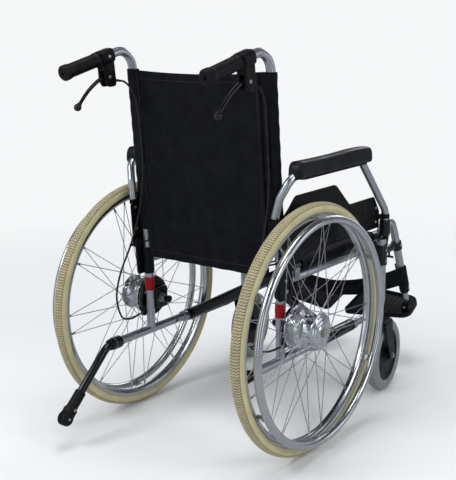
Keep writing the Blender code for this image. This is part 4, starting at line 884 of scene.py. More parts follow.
def caster_fork(post, back, axle):
    """One bent strip, down each side of the wheel: its width runs from the crown's to a round tip."""
    half, low, high = 0.0255, 0.0865, FORK_TOP_Z - 0.0025
    corners = [post + axle * half * a + Z * z for a, z in ((-1, low), (-1, high), (1, high), (1, low))]
    path = bent(corners, 0.009, 10)
    legs = [np.linspace(path[0], path[1], 26)[:-1], path[1:-1], np.linspace(path[-2], path[-1], 26)[1:]]
    path = np.concatenate(legs)
    rise = path[:, 2] - low
    tip = np.sqrt(np.clip(1 - (1 - np.minimum(rise / 0.013, 1)) ** 2, 0.02, 1))
    share = eased(0.010, high - low - 0.012, rise)
    wide = (0.0170 + 0.0110 * share) * tip
    path += back * (CASTER_TRAIL + (0.0080 - CASTER_TRAIL) * share)[:, None]
    ring = oval(1.0, 1.0, 24, 5)[None] * np.stack([wide, np.full(len(wide), 0.0020)], axis=-1)[:, None]
    return swept(path, ring, back)


def casters():
    axle = np.array((math.cos(CASTER_YAW), math.sin(CASTER_YAW), 0))
    back = np.cross(Z, axle)
    for d, s in SIDES:
        post = at(s * COLUMN_X, COLUMN_Y, 0)
        hub = post + back * CASTER_TRAIL + Z * CASTER_R
        fork, wheel = f"caster_fork_{d}", f"caster_wheel_{d}"
        crown = dome(post + Z * (FORK_TOP_Z - 0.0012), Z, 0.0150, 0.0012, 32)
        strip = [caster_fork(post, back, axle), crown]
        piece(f"caster_strip_{d}", strip, "moulded", fork, [fork], "black_metal")
        ends = []
        for way in (-axle, axle):
            face = hub + way * 0.0275
            ends += [turned(mm((0, 8.5), (0.8, 8.5), (1, 7)), face, way, 24),
                     hex_nut(face + way * 0.0009, way, 0.0062, 0.0042)]
        ends.append(bar([hub - axle * 0.0320, hub + axle * 0.0320], 0.0034, 16, side=Z))
        ends.append(bar([post + Z * (FORK_TOP_Z + z) for z in (-0.006, 0.048)], 0.0064, 24))
        piece(f"caster_bolt_{d}", ends, "steel", fork)
        half = mm((-15, 72.3), (-19.5, 80), (-19.2, 88), (-11, 99.8))
        soft = mm(1, 3, 4, 5, 5, 4, 3, 1)
        tyre = turned(np.concatenate([half, half[::-1] * (-1, 1)]), hub, axle, 120, True, soft, 5)
        piece(f"caster_tread_{d}", tyre, "grey", wheel, [f"caster_tyre_{d}"])
        half = mm((21.2, 4.5), (21.2, 13), (15, 19), (12, 30), (10.5, 56), (12, 63.5), (15.2, 69),
                  (14.2, 72.2))
        disc = turned(np.concatenate([half * (-1, 1), half[::-1]]), hub, axle, 96, True, 0.0012)
        piece(f"caster_disc_{d}", disc, "moulded", wheel, [f"caster_rim_{d}"])


# Frame


def side_frames():
    for d, s in SIDES:
        x, body, front = s * FRAME_X, FRAME_OF[d], FRONT_POST_Y
        lower = [at(x, RAIL_REAR_Y, RAIL_Z), at(x, front, RAIL_Z), at(x, front, FRONT_TOP_Z)]
        rear = [at(x, REAR_POST_Y, z) for z in (RAIL_Z + 0.004, POST_TOP_Z)]
        upper = [at(x, y, UPPER_RAIL_Z) for y in (REAR_POST_Y - 0.004, front + 0.004)]
        low, high = (at(s * COLUMN_X, COLUMN_Y, z) for z in COLUMN_Z)
        shells = [bar(path, TUBE_R, 36) for path in (bent(lower, 0.034, 12), rear, upper, [low, high])]
        shells.append(sleeve(high - Z * 0.0135, high, TUBE_R - 0.001, TUBE_R + 0.0028))
        shells += [block(at((x + s * COLUMN_X) / 2, COLUMN_Y, z), (0.022, 0.0140, 0.0136), edge=0.0022)
                   for z in (RAIL_Z, UPPER_RAIL_Z)]
        seams = ((REAR_POST_Y, RAIL_Z, Z, Y), (REAR_POST_Y, UPPER_RAIL_Z, -Y, Z), (front, UPPER_RAIL_Z, Y, Z))
        shells += [weld(at(x, y, z), along, across, TUBE_R) for y, z, along, across in seams]
        shells += [sleeve(at(x, y, RAIL_Z), at(x, y - 0.016, RAIL_Z), TUBE_R - 0.001, 0.0149)
                   for y in (SLEEVE_YS[0] + GAP + 0.016, SLEEVE_YS[1] - GAP)]
        shells += [saddle(at(x, y, SEAT_Z)) for y in SADDLE_YS]
        piece(f"frame_tubes_{d}", shells, "silver", body, [f"side_frame_{d}"], smooth=45)
        clamp = [(0, TUBE_R), *mm((0, 12.2), (4, 13.8), (30, 14), (31, 13.3), (36, 13.3), (37, 14), (64, 14),
                                  (70, 12.8)), (0.070, TUBE_R)]
        tilt = Y * BACK_LEAN * 0.5 + Z
        caps = [plug(at(x, front, FRONT_TOP_Z), Z), plug(high, Z),
                turned(clamp, at(x, REAR_POST_Y, 0.3790), tilt, 40, True, 0.0006),
                dome(at(s * (FRAME_X - TUBE_R + 0.0004), -0.060, RAIL_Z), -s * X, 0.0040, 0.0022)]
        piece(f"frame_plugs_{d}", caps, "moulded", body)
        ring = [(0, 0), (0, 1), (0.10, 1), (0.16, 0.55), (0.24, 0.55), (0.30, 1), (0.70, 1), (0.76, 0.55)]
        ring += [(0.84, 0.55), (0.90, 1), (1, 1), (1, 0)]
        profile = np.array(ring) * (RING_Z[1] - RING_Z[0], 0.0019) + (0, TUBE_R + GAP)
        collar = turned(profile, at(x, REAR_POST_Y, RING_Z[0]), Z, 48, True, 0.0004)
        piece(f"red_collar_{d}", collar, "red", body, [f"post_ring_{d}"])
        make_rear_bracket(d, s, body)
        make_casting(d, s, body)


def saddle(middle):
    """A cradle for the seat tube: an arc about the tube's middle cuts its top, its foot is on the rail."""
    turn = np.radians(np.linspace(-8, -172, 17))
    arc = (TUBE_R + GAP) * np.column_stack([np.cos(turn), np.sin(turn)])
    drop = UPPER_RAIL_Z - SEAT_Z
    corners = np.array([(0.0150, -0.0022), (0.0150, drop + 0.004), (0.0105, drop - 0.001)])
    return slab(np.concatenate([arc, corners * (-1, 1), corners[::-1]]), 0.0198, place(middle, X, Z), 0.0007)


def make_rear_bracket(d, s, body):
    """The plate that joins rear post, back tube and armrest pivot, with its rib, screws and pin."""
    inner, thick = FRAME_X + TUBE_R + GAP, 0.0062
    face = inner + thick
    loop = outline([(0, 0.378), (0.060, 0.378), (0.066, 0.478), (0.010, 0.478)], mm(8, 8, 12, 12), 7)
    plate = slab(loop, thick, place(at(s * (inner + thick / 2), 0, 0), Y, Z), 0.0014)
    rib = block(at(s * face, 0.016, 0.428), (0.0030, 0.006, 0.078), edge=0.0013)
    piece(f"bracket_plate_{d}", [plate, rib], "moulded", body, [f"rear_bracket_{d}"])
    heads = [screw_head(at(s * face, y, z), s * X, 0.0050, 0.0030)
             for y, z in ((0.030, 0.398), (0.034, 0.425))]
    pin = [at(s * x, *FLIP_PIVOT) for x in (inner + 0.002, face + 0.0065)]
    heads.append(bar(pin, 0.0040, 20, side=Y))
    heads.append(screw_head(at(s * (face + 0.0036), *FLIP_PIVOT), s * X, 0.0066, 0.0030))
    piece(f"bracket_screws_{d}", heads, "steel", body)


def make_casting(d, s, body):
    """The black casting round the caster column, its web, and the socket that the armrest plugs into."""
    low, high = (at(s * ARM_X, SOCKET_Y, z) for z in SOCKET_Z)
    socket = mm((0, 3), (0, 12.5), (4, 14.8), (40, 14.8), (45, 13.8), (45, 10.8), (8, 10.8), (8, 3))
    web_y = COLUMN_Y - 0.0183
    web = [(COLUMN_X, web_y + 0.002, 0.402), (0.2335, web_y, 0.430), (0.2375, web_y, 0.466)]
    ends = [at(s * COLUMN_X, COLUMN_Y, z) for z in CASTING_Z]
    shells = [sleeve(*ends, TUBE_R + GAP, 0.0172, 0.0018), turned(socket, low, Z, 40, True, 0.0009),
              swept(curve([at(s * x, y, z) for x, y, z in web], 6), oval(0.0085, 0.0046, 20))]
    piece(f"arm_socket_{d}", shells, "coated", body, [f"front_bracket_{d}"])
    screws = [screw_head(at(s * (COLUMN_X + 0.0165), COLUMN_Y, z), s * X, 0.0034, 0.0022)
              for z in (0.380, 0.410)]
    screws.append(sleeve(high - Z * 0.0002, high + Z * 0.0028, ARM_TUBE_R + 0.0004, 0.0130, 0.0006))
    piece(f"socket_screws_{d}", screws, "steel", body)


def axles():
    """The brake plates with their axle block, cable lug and torque arm, and the axles with nuts and knob."""
    for d, s in SIDES:
        axis, body = s * X, FRAME_OF[d]
        plate_x = PLATE_XS[0]

        def on_axle(x):
            return at(s * x, 0, WHEEL_R)

        disc = mm((0, 6.4), (0, 30), (1.2, 32), (1.2, 43), (0, 45), (0, 49), (2.2, 52.5), (5.5, 52.5),
                  (5.5, 6.4))
        rear, wide = REAR_POST_Y - TUBE_R - GAP, plate_x - NUT_X
        middle = at(s * (plate_x - wide / 2), (-0.024 + rear) / 2, WHEEL_R)
        barrel = at(s * sum(PLATE_XS) / 2, 0.040, CABLE_LOW)
        arm = outline([(0.0, 0.0), (0.034, -0.046), (0.046, -0.040), (0.018, 0.012)], mm(8, 6, 6, 10), 6)
        shells = [turned(disc, on_axle(plate_x), axis, 72, True, 0.0006),
                  block(middle, (wide, rear + 0.024, 0.056), edge=0.0030),
                  block(barrel - Y * 0.004, (0.0055, 0.022, 0.014), edge=0.0014),
                  slab(arm, 0.0040, place(at(s * (plate_x - 0.0012), 0.006, WHEEL_R), Y, Z), 0.0009)]
        piece(f"back_plate_{d}", shells, "coated", body, [f"brake_plate_{d}"])
        nut_x, end_x = NUT_X - GAP, WHEEL_X + HUB_END
        steel = [hex_nut(on_axle(nut_x), -axis, 0.0108, 0.0078),
                 sleeve(on_axle(0.1950), on_axle(nut_x), 0.0060, 0.0132, 0.0004),
                 bar([on_axle(0.170), on_axle(0.2270)], 0.0060, 24, side=Z),
                 sleeve(on_axle(end_x + GAP), on_axle(end_x + 0.0016), 0.002, 0.0128, 0.0004),
                 hex_nut(on_axle(end_x + 0.0014), axis, 0.0098, 0.0030),
                 dome(on_axle(end_x + 0.0040), axis, 0.0068, 0.0021)]
        steel += [screw_head(at(s * plate_x, y, WHEEL_R + z), -axis, 0.0038, 0.0026)
                  for y, z in ((-0.030, 0.022), (-0.034, -0.016), (0.036, 0.018), (0.022, -0.034))]
        lug = mm((0, 3.8), (6, 3.8), (6.4, 3), (8.8, 3), (9.2, 3.8), (17.2, 3.6), (18, 3))
        steel.append(turned(lug, barrel, Y, 20))
        piece(f"axle_steel_{d}", steel, "steel", body, [f"axle_{d}"])
        knob = mm((0, 6.8), (1.2, 9.4), (6, 9.6), (7, 8), (15, 7.8), (16.8, 6.6))
        piece(f"axle_knob_{d}", turned(knob, on_axle(0.1665), axis, 32, False, 0.0006), "moulded", body)


def brace():
    """Two frames crossed at a bolt: a sleeve on a bottom rail, oval arms up to the far seat tube."""
    for name, s in (("a", -1), ("b", 1)):
        x, body = s * FRAME_X, f"cross_arm_{name}"
        along = unit(np.array((-2 * x, 0, SEAT_Z - RAIL_Z)))
        shells = [sleeve(*(at(x, y, RAIL_Z) for y in SLEEVE_YS), TUBE_R + GAP, 0.0160, 0.0014)]
        for y in ARM_YS[name]:
            foot = at(x, y, RAIL_Z)
            span = np.linalg.norm(at(-x, y, SEAT_Z) - foot)
            flattened = span - mm(42, 36, 30, 24, 18, 8)
            spots = np.concatenate([[0.010, 0.014], np.linspace(0.02, span - 0.046, 12), flattened])
            share = 1 - eased(span - 0.046, span - 0.022, spots)
            sizes = np.column_stack([0.0074 + 0.0006 * share, 0.0074 + 0.0066 * share])
            shells.append(swept(foot + spots[:, None] * along, oval(1, 1, 32, 2.8)[None] * sizes[:, None], Y))
            shells.append(weld(foot, along, Y, 0.0152))
        ends = [at(-x, y, SEAT_Z) for y in SEAT_TUBE_YS]
        shells.append(bar(ends, TUBE_R, 36))
        piece(f"brace_arms_{name}", shells, "coated", body, [body], smooth=45)
        piece(f"seat_tube_plugs_{name}", [plug(ends[0], Y), plug(ends[1], -Y)], "moulded", body)

    def on_bolt(y):
        return at(0, y, (RAIL_Z + SEAT_Z) / 2)

    front, back = ARM_YS["b"]
    near, far = front + 0.0080, back - 0.0080
    steel = [bar([on_bolt(near + 0.0105), on_bolt(far - 0.0105)], 0.0048, 20)]
    for y, way in ((near, 1), (far, -1)):
        washer_end = on_bolt(y + way * 0.0018)
        steel += [sleeve(on_bolt(y), washer_end, 0.0040, 0.0105, 0.0004),
                  hex_nut(washer_end, way * Y, 0.0085, 0.0065)]
    steel += [sleeve(on_bolt(start), on_bolt(end), 0.0050, 0.0085)
              for start, end in ((front - 0.0088, -0.1970), (-0.2130, back + 0.0088))]
    piece("brace_bolt", steel, "steel", "cross_arm_a")


def anti_tipper():
    x, body = FRAME_X, "anti_tipper"
    root = at(x, TIP_ROOT_Y, RAIL_Z)
    path = bent([root + Y * 0.004, at(x, 0.200, RAIL_Z - 0.002), at(x, 0.329, 0.1020)], 0.045, 12)
    end, slope = path[-1], unit(path[-1] - path[-2])
    collar = mm((0, 10.2), (0, 15.2), (4, 16), (26, 16), (29, 15), (37, 14.2), (37, 10.2))
    way_in = at(x, 0.18, RAIL_Z - 0.0005) - root
    shells = [bar(path, 0.0105, 36), turned(collar, root, way_in, 40, True, 0.0008)]
    piece("tipper_tube", shells, "coated", body, ["anti_tipper_tube"])
    ring = [sleeve(root + Y * 0.0225, root + Y * 0.0240, 0.0140, 0.0163, 0.0003),
            screw_head(at(x, 0.1635, RAIL_Z + 0.0154), Z, 0.0034, 0.0022)]
    piece("tipper_ring", ring, "steel", body)
    foot = mm((0, 10.7), (0, 12.8), (1.5, 13.8), (56, 14.3), (62, 13.2), (68, 11), (69, 0.4), (47, 0.4),
              (47, 10.7))
    disc = mm((1.6, 10), (1.6, 17.6), (3, 18.5), (9.8, 17.8), (13.5, 14), (14.2, 4))
    rubber = [turned(foot, end - slope * 0.046, slope, 48, True, 0.0009)]
    centre = end + slope * 0.0295
    for way in (-X, X):
        rubber.append(turned(disc, centre, way, 48, False, 0.0008))
        cheek = centre - slope * 0.0150 + way * 0.0078
        rubber.append(block(cheek, (0.0260, 0.0120, 0.0230), (slope, X), 0.0016, 0.003))
    ends = [centre - X * 0.0040, centre + X * 0.0040]
    rubber.append(bar(ends, 0.0150, 36, 0.0004, unit(np.cross(X, slope))))
    piece("tipper_foot", rubber, "rubber", body, ["anti_tipper_foot"])
    bolt = end + slope * 0.004
    heads = [screw_head(bolt + way * 0.0138, way, 0.0040, 0.0026) for way in (-X, X)]
    heads += [screw_head(centre + way * 0.0140, way, 0.0038, 0.0018) for way in (-X, X)]
    piece("tipper_bolt", heads, "steel", body)
    cap = mm((0, TUBE_R * 1000 - 2), (0, 14), (22, 14.6), (24.5, 14.8), (29.5, 14.3), (30, 9.2), (29, 8.6),
             (4, 8.5))
    shells = [turned(cap, at(-x, TIP_ROOT_Y, RAIL_Z), Y, 48, True, 0.0007),
              dome(at(-x - 0.0143, RAIL_REAR_Y + 0.014, RAIL_Z), -X, 0.0032, 0.0030)]
    piece("open_rail_cap", shells, "moulded", "right_frame", ["rail_end_cap"])


# Back, handles and brakes


def cable_route(d, s):
    """The route's corners, those along the back drawn out or in on each side as the photograph shows them."""
    out, rear = CABLE_DRIFT[d]
    route = zip(CABLE_ROUTE, CABLE_SHARES)
    return np.array([at(s * (x + out * share), y + rear * share, z) for (x, y, z), share in route])


def brakes():
    """The cables come first as cords, then the housings that they leave and the levers."""
    for d, s in SIDES:
        body, route = FRAME_OF[d], cable_route(d, s)
        path, fine = curve(route, 3), curve(route, 9)
        wire = bar(fine, CABLE_D / 2, 16, 0.0002)
        made = piece(f"brake_wire_{d}", wire, "sheath", body, [f"brake_cable_{d}"])
        make_housing(d, s, body, unit(fine[3] - fine[0]))
        make_lever(d, s)
        make_tie(d, s, body, fine)


def make_housing(d, s, body, lead):
    """The lever's clamp round the grip tube, its two cheeks, and the tapered boot that the cable leaves."""
    middle, way = handle_point(s, HOUSING_Y), unit(handle_point(1, 1.0) - handle_point(1, 0.0))
    pivot = at(s * FRAME_X, *LEVER_PIVOT)
    shells = [block(middle, (0.0358, 0.0338, 0.0398), (X, unit(np.cross(X, way))), 0.0028, 0.0105)]
    shells += [sleeve(middle + way * end * 0.0190, middle + way * end * 0.0222, TUBE_R + GAP, 0.0150, 0.0010)
               for end in (-1, 1)]
    cheek = [(-0.0225, -0.0220), (0.0030, -0.0240), (0.0128, -0.0100), (0.0175, 0.0440), (-0.0155, 0.0500)]
    loop = outline(cheek, mm(8, 10, 12, 4, 4), 6)
    shells += [slab(loop, 0.0066, place(pivot + turn * 0.0097, Y, Z), 0.0012) for turn in (-X, X)]
    shells.append(block(pivot + (0, -0.0174, 0.0074), (0.0150, 0.0064, 0.0520), edge=0.0010))
    shells.append(block(pivot + (0, -0.0010, 0.0290), (0.0150, 0.0300, 0.0290), edge=0.0010))
    foot = pivot + (0, -0.0170, -0.0010)
    exit_at = at(s * CABLE_ROUTE[0][0], *CABLE_ROUTE[0][1:])
    inward = unit(exit_at - foot)
    shells.append(turned(mm((-6, 6.6), (4, 6.2), (7, 5)), foot, inward, 24))
    piece(f"lever_clamp_{d}", shells, "moulded", body, [f"brake_housing_{d}"])
    ferrule = mm((-6, 4.8), (0.8, 5), (1.6, 4.2), (5, 4), (5.6, 3.3))
    steel = [turned(ferrule, exit_at - inward * 0.0040, inward, 20)]
    steel += [screw_head(pivot + turn * 0.0129, turn, 0.0046, 0.0024) for turn in (-X, X)]
    steel.append(bar([pivot - X * 0.0125, pivot + X * 0.0125], 0.0024, 16, side=Y))
    steel.append(screw_head(middle - X * s * 0.0178, -s * X, 0.0042, 0.0026))
    piece(f"lever_screws_{d}", steel, "steel", body)
    relief = [*mm((5.6, 3.3), (12, 3.1), (18, 2.7)), (0.0184, CABLE_D / 2 - 0.0002)]
    boot = turned(relief, exit_at - lead * 0.0050, lead, 20)
    piece(f"cable_boot_{d}", boot, "rubber", body, (), "black_plastic")


def make_lever(d, s):
    """A slim bar bent down from its pivot to a ball end."""
    pivot, tip = at(s * FRAME_X, *LEVER_PIVOT), at(s * FRAME_X, *LEVER_BALL)
    bends = mm((0, 1.5, -1), (0, 24, -6), (0, 62, -30))
    path = curve([*(pivot + bends), tip], 12)
    way = unit(path[-1] - path[-2])
    ring = oval(0.0050, 0.0047, 24, 2.3)[None]
    ring = ring * (1 - 0.16 * eased(0.1, 0.9, np.linspace(0, 1, len(path))))[:, None, None]
    shells = [swept(path, ring), ball(tip, 0.0090, way),
              turned(mm((0, 5.8), (1.6, 6.2), (3, 5.2)), tip - way * 0.0098, way, 24),
              bar([pivot - X * 0.0060, pivot + X * 0.0060], 0.0075, 28, 0.0008, Y)]
    piece(f"brake_bar_{d}", shells, "coated", f"brake_lever_{d}", [f"brake_lever_{d}"])


def make_tie(d, s, body, fine):
    """A strap round the back tube and the cable: the hull of their two circles, swept as a thin band."""
    near = fine[np.abs(fine[:, 2] - TIE_Z).argmin()] * (1, 1, 0) + Z * TIE_Z
    post = at(s * FRAME_X, frame_line(TIE_Z), TIE_Z)
    post_r, cable_r = TUBE_R + 0.0004, CABLE_D / 2 + 0.0004
    away = near - post
    lean = math.acos((post_r - cable_r) / np.linalg.norm(away))
    base = math.atan2(away[1], away[0])
    ring = []
    for centre, radius, low, high, count in ((post, post_r, lean, 2 * np.pi - lean, 26),
                                             (near, cable_r, -lean, lean, 10)):
        turn = np.linspace(base + low, base + high, count)
        ring.append(centre + radius * np.column_stack([np.cos(turn), np.sin(turn), 0 * turn]))
    band = swept(np.concatenate(ring), oval(0.0021, 0.0006, 12, 4), Z, looped=True)
    piece(f"cable_ties_{d}", band, "moulded", body)


def back_tubes():
    foot_z = POST_TOP_Z + GAP + TUBE_R * BACK_LEAN
    for d, s in SIDES:
        corners = [at(s * FRAME_X, frame_line(foot_z), foot_z), handle_point(s, frame_line(BACK_CORNER_Z)),
                   handle_point(s, HANDLE_END_Y - 0.008)]
        pipe = bar(bent(corners, 0.045, 14), TUBE_R, 36, 0.0005)
        piece(f"back_pipe_{d}", pipe, "silver", FRAME_OF[d], [f"back_tube_{d}"], smooth=45)
        first, last = handle_point(s, GRIP_START_Y), handle_point(s, HANDLE_END_Y)
        length, bore = np.linalg.norm(last - first), TUBE_R + GAP
        groove = mm((0, 16.5), (4.2, 16.5), (4.7, 16), (5.5, 16))
        profile = [(0, bore), *mm((0, 17.4), (2, 17.8), (5, 17.8), (8.2, 16.5))]
        for start in np.arange(0.0160, length - 0.0300, 0.0060):
            profile += [*(groove + (start, 0))]
        end = mm((-24, 16.5), (-16, 18.3), (-4, 18.5), (-0.4, 15), (0, 11), (0, 4), (-6, 4))
        profile += [*(end + (length, 0)), (length - 0.0060, bore)]
        grip = turned(profile, first, last - first, 56, True, 0.0009)
        piece(f"hand_grip_{d}", grip, "rubber", FRAME_OF[d], [f"grip_{d}"])


# Armrests


def armrests():
    for d, s in SIDES:
        body, level = f"armrest_{d}", PAD_Z + 0.0025
        bends = [(ARM_X, SOCKET_Y, SOCKET_Z[1] - 0.006), (ARM_X, SOCKET_Y, 0.520), (0.2465, -0.268, level),
                 (0.2495, 0.044, level), (0.229, 0.064, 0.625), (0.2195, 0.070, 0.579)]
        path = bent([at(s * x, y, z) for x, y, z in bends], 0.040, 12)
        drop = eased(PAD_Z - 0.052, PAD_Z - 0.018, path[:, 2])
        widths = np.where(path[:, 1] < AXLE_Y - 0.1, 1.0, 0.94 + 0.06 * drop)
        stub = [at(s * ARM_X, SOCKET_Y, z) for z in (SOCKET_Z[0] + 0.008, SOCKET_Z[1] - 0.004)]
        shells = [bar(path, ARM_TUBE_R, 36, 0.0005, X, widths), bar(stub, 0.0078, 24, 0.002)]
        piece(f"arm_pipe_{d}", shells, "silver", body, [f"arm_tube_{d}"], smooth=45)
        make_cushion(d, s, body)
        make_guard(d, s, body)


def make_cushion(d, s, body):
    """The moulded pad: at each y a superellipse as tall as the pad's profile there, drawn in by the root of
    one less a square at its two ends; a shallow groove runs round above its base."""
    low, high = PAD_BOX[:, 1]
    middle, half = s * PAD_BOX[:, 0].mean(), np.ptp(PAD_BOX[:, 0]) / 2
    y = low + (high - low) * (1 - np.cos(np.linspace(0, np.pi, 90))) / 2
    height = np.interp(y, [low, -0.220, -0.130, -0.040, high], mm(39.5, 43, 39.5, 39.5, 41))
    height = np.convolve(np.pad(height, 8, mode="edge"), np.ones(17) / 17, "valid")
    away = np.minimum(y - low, high - y)
    ends = np.sqrt(np.clip(1 - (1 - np.minimum(away / 0.016, 1)) ** 2, 0.0004, 1))
    ring = oval(1, 1, 72, 4.2)
    tall = (ring[:, 1] + 1) / 2
    swell = 1 - 0.035 * np.exp(-(((tall - 0.16) / 0.05) ** 2))
    across = middle + half * (0.55 + 0.45 * ends)[:, None] * ring[:, 0] * swell * (1 - 0.10 * tall**2)
    up = PAD_Z - 0.0075 + height[:, None] * tall * (0.40 + 0.60 * ends)[:, None]
    grid = np.stack([across, AXLE_Y + y[:, None] + 0 * up, up], axis=-1)
    made = piece(f"arm_cushion_{d}", solid(grid), "pad", body, [f"arm_pad_{d}"])
    board = block(at(middle, (low + high) / 2, PAD_Z - 0.0080), (half * 1.6, high - low - 0.040, 0.0030),
                  corner=0.012)
    piece(f"pad_board_{d}", board, "moulded", body)
    screws = [screw_head(at(s * 0.2480, low + (high - low) * share, PAD_Z - 0.0094), -Z, 0.0042, 0.0022)
              for share in (0.12, 0.86)]
    piece(f"pad_screws_{d}", screws, "steel", body)


def make_guard(d, s, body):
    """The skirt guard with its rolled edge, its screws and the clips that hold it to the arm tube."""
    middle = ARM_X - ARM_TUBE_R - GAP - 0.0015
    corners = mm((66, 450), (72, 565), (30, 596), (0, 623), (-180, 623), (-248, 562), (-375, 562),
                 (-404, 520), (-404, 474.5), (-60, 474.5), (24, 450))
    loop = outline(corners, mm(8, 12, 20, 20, 30, 20, 10, 20, 6, 30, 12), 8)
    lip = inset(wound(loop), 0.0026)
    path = np.column_stack([np.full(len(lip), s * middle), AXLE_Y + lip[:, 0], lip[:, 1]])
    shells = [slab(loop, 0.0030, place(at(s * middle, 0, 0), Y, Z)),
              swept(path, oval(0.0023, 0.0021, 16, 2.6), looped=True)]
    piece(f"skirt_panel_{d}", shells, "moulded", body, [f"skirt_guard_{d}"])
    spots = mm((-386, 530), (-386, 492), (56, 556), (54, 500))
    screws = [screw_head(at(s * (middle + way * 0.0014), y, z), s * way * X, 0.0040, 0.0022)
              for y, z in spots for way in (-1, 1)]
    washer = [at(s * (middle + x), *FLIP_PIVOT) for x in (0.0012, 0.0024)]
    screws.append(sleeve(*washer, 0.0046, 0.0092, 0.0004))
    piece(f"guard_screws_{d}", screws, "steel", body)
    spot = at(s * ARM_X, SOCKET_Y, 0.5040)
    clip = at(s * (middle + 0.0046), SOCKET_Y + 0.0110, 0.5040)
    clips = [sleeve(spot - Z * 0.006, spot + Z * 0.006, ARM_TUBE_R, 0.0122),
             block(clip, (0.0110, 0.0240, 0.0110), edge=0.0012),
             block(at(s * (middle - 0.0060), 0.0680, 0.5760), (0.0130, 0.0150, 0.0180), edge=0.0014)]
    piece(f"guard_clips_{d}", clips, "moulded", body)


# Footrests


def footrests():
    down = unit(np.array((0, hanger_line(0.3) - hanger_line(0.4), -0.1)))
    toe = np.array((0, -math.cos(PLATE_TILT), math.sin(PLATE_TILT)))
    for d, s in SIDES:
        body = f"footrest_{d}"

        def hanger(z):
            return at(s * FRAME_X, hanger_line(z), z)

        low, high = (at(s * FRAME_X, FRONT_POST_Y, z) for z in HANGER_COLLAR_Z)
        middle, root = (low + high) / 2, FRONT_POST_Y - TUBE_R
        corners = [at(s * FRAME_X, root - 0.0022, sum(HANGER_COLLAR_Z) / 2), at(s * FRAME_X, -0.514, 0.474),
                   hanger(0.430), hanger(FOOT_SLEEVE_Z[0] + 0.006)]
        shells = [bar(bent(corners, 0.022, 12), TUBE_R, 36, 0.0005),
                  sleeve(low, high, TUBE_R + 0.0006, 0.0155, 0.0010), weld(middle, -Y, Z, 0.0120)]
        piece(f"hanger_pipe_{d}", shells, "silver", body, [f"hanger_tube_{d}"], smooth=45)
        middle, reach = hanger(LATCH_Z), at(s * FRAME_X, root - GAP, LATCH_Z)
        inner = middle + unit(reach - middle) * (TUBE_R + 0.0024)
        hook = [*(middle + mm((0, 35, -4), (0, 40.88, -6), (0, 44.88, -18), (0, 37.88, -26)))]
        shells = [sleeve(middle - down * 0.012, middle + down * 0.012, TUBE_R + GAP, TUBE_R + 0.0036, 0.0010),
                  block((reach + inner) / 2, (0.0138, np.linalg.norm(reach - inner), 0.0178), edge=0.0018),
                  bar(curve(hook, 6), 0.0030, 16, 0.0008),
                  bar([hook[-1] - X * 0.010, hook[-1] + X * 0.010], 0.0032, 16, 0.0010, Y)]
        piece(f"latch_clamp_{d}", shells, "coated", body, [f"hanger_latch_{d}"])
        bottom, top = (hanger(z) for z in FOOT_SLEEVE_Z)
        length, bore = np.linalg.norm(bottom - top), TUBE_R + GAP
        above = mm((0, 13.6), (2, 14.5), (10, 14.5), (11, 13.9), (13, 13.9), (14, 14.5))
        below = mm((-16, 14.5), (-15, 13.9), (-12, 13.9), (-11, 14.5), (-2, 14.2), (0, 12.5), (0, 8.8),
                   (-5, 8.8))
        profile = [(0, bore), *above, *(below + (length, 0)), (length - 0.005, bore)]
        shell = turned(profile, top, down, 48, True, 0.0006)
        piece(f"footrest_sleeve_{d}", shell, "moulded", body, [f"foot_sleeve_{d}"])
        pin = hanger(FOOT_PIN_Z)
        steel = [screw_head(bottom - down * 0.012 + s * X * 0.0142, s * X, 0.0038, 0.0026)]
        steel += [screw_head(pin + way * 0.0212, way, 0.0030, 0.0016) for way in (-toe, toe)]
        steel += [bar([pin - toe * 0.0215, pin + toe * 0.0215], 0.0039, 20, 0.0004),
                  screw_head(middle + s * X * 0.0143, s * X, 0.0036, 0.0024)]
        piece(f"footrest_screws_{d}", steel, "steel", body)
        stem = bar([bottom - down * 0.0050, pin + down * 0.0038], 0.0085, 32)
        piece(f"footrest_stem_{d}", stem, "silver", body, [f"foot_tube_{d}"])
        make_plate(d, s, pin, toe)


def make_plate(d, s, pin, toe):
    """The footplate: floor, raised border, tread ribs and the two lugs on the pin."""
    up = np.array((0, math.sin(PLATE_TILT), math.cos(PLATE_TILT)))
    heel, across, wide = at(s * PLATE_HEEL[0], *PLATE_HEEL[1:]), s * X, PLATE_WIDE
    loop = outline([(0, 0), (wide, 0.037), (wide - 0.012, 0.136), (0, 0.148)], mm(14, 30, 40, 20), 10)
    shells = [slab(loop, 0.0100, (heel + up * 0.0050, across, toe, unit(np.cross(across, toe))), 0.0016)]
    border = inset(loop, 0.0026)
    path = heel + border[:, :1] * across + border[:, 1:] * toe + up * 0.0118
    shells.append(swept(path, oval(0.0031, 0.0026, 16, 3.4), up, looped=True))
    for u in np.arange(0.020, wide - 0.016, 0.0150):
        start = 0.011 + 0.037 * u / wide + 0.014 * max(0, (u - wide + 0.04) / 0.04) ** 2
        stop = 0.137 - 0.012 * u / wide - 0.018 * max(0, (u - wide + 0.05) / 0.05) ** 2
        rib = heel + across * u + toe * np.linspace(start, stop, 6)[:, None] + up * 0.0098
        shells.append(swept(rib, oval(0.0019, 0.0011, 12, 3), across))
    drop = (pin - (heel + up * 0.0075)) @ up
    lug = [(-0.0100, -drop + 0.002), (0.0100, -drop + 0.002), (0.0092, 0.0150), (-0.0092, 0.0150)]
    flat = outline(lug, mm(1, 1, 7, 7), 8)
    level = unit(np.cross(X, up))
    shells += [slab(flat, 0.0088, (pin + way * 0.0145, X, up, level), 0.0010) for way in (-toe, toe)]
    cheek = pin + s * X * 0.0118 + up * (0.0085 - drop / 2)
    shells.append(block(cheek, (drop + 0.0130, 0.0370, 0.0042), (up, toe), 0.0012, 0.004))
    piece(f"foot_tread_{d}", shells, "moulded", f"footplate_{d}", [f"footplate_{d}"])


# Cloth


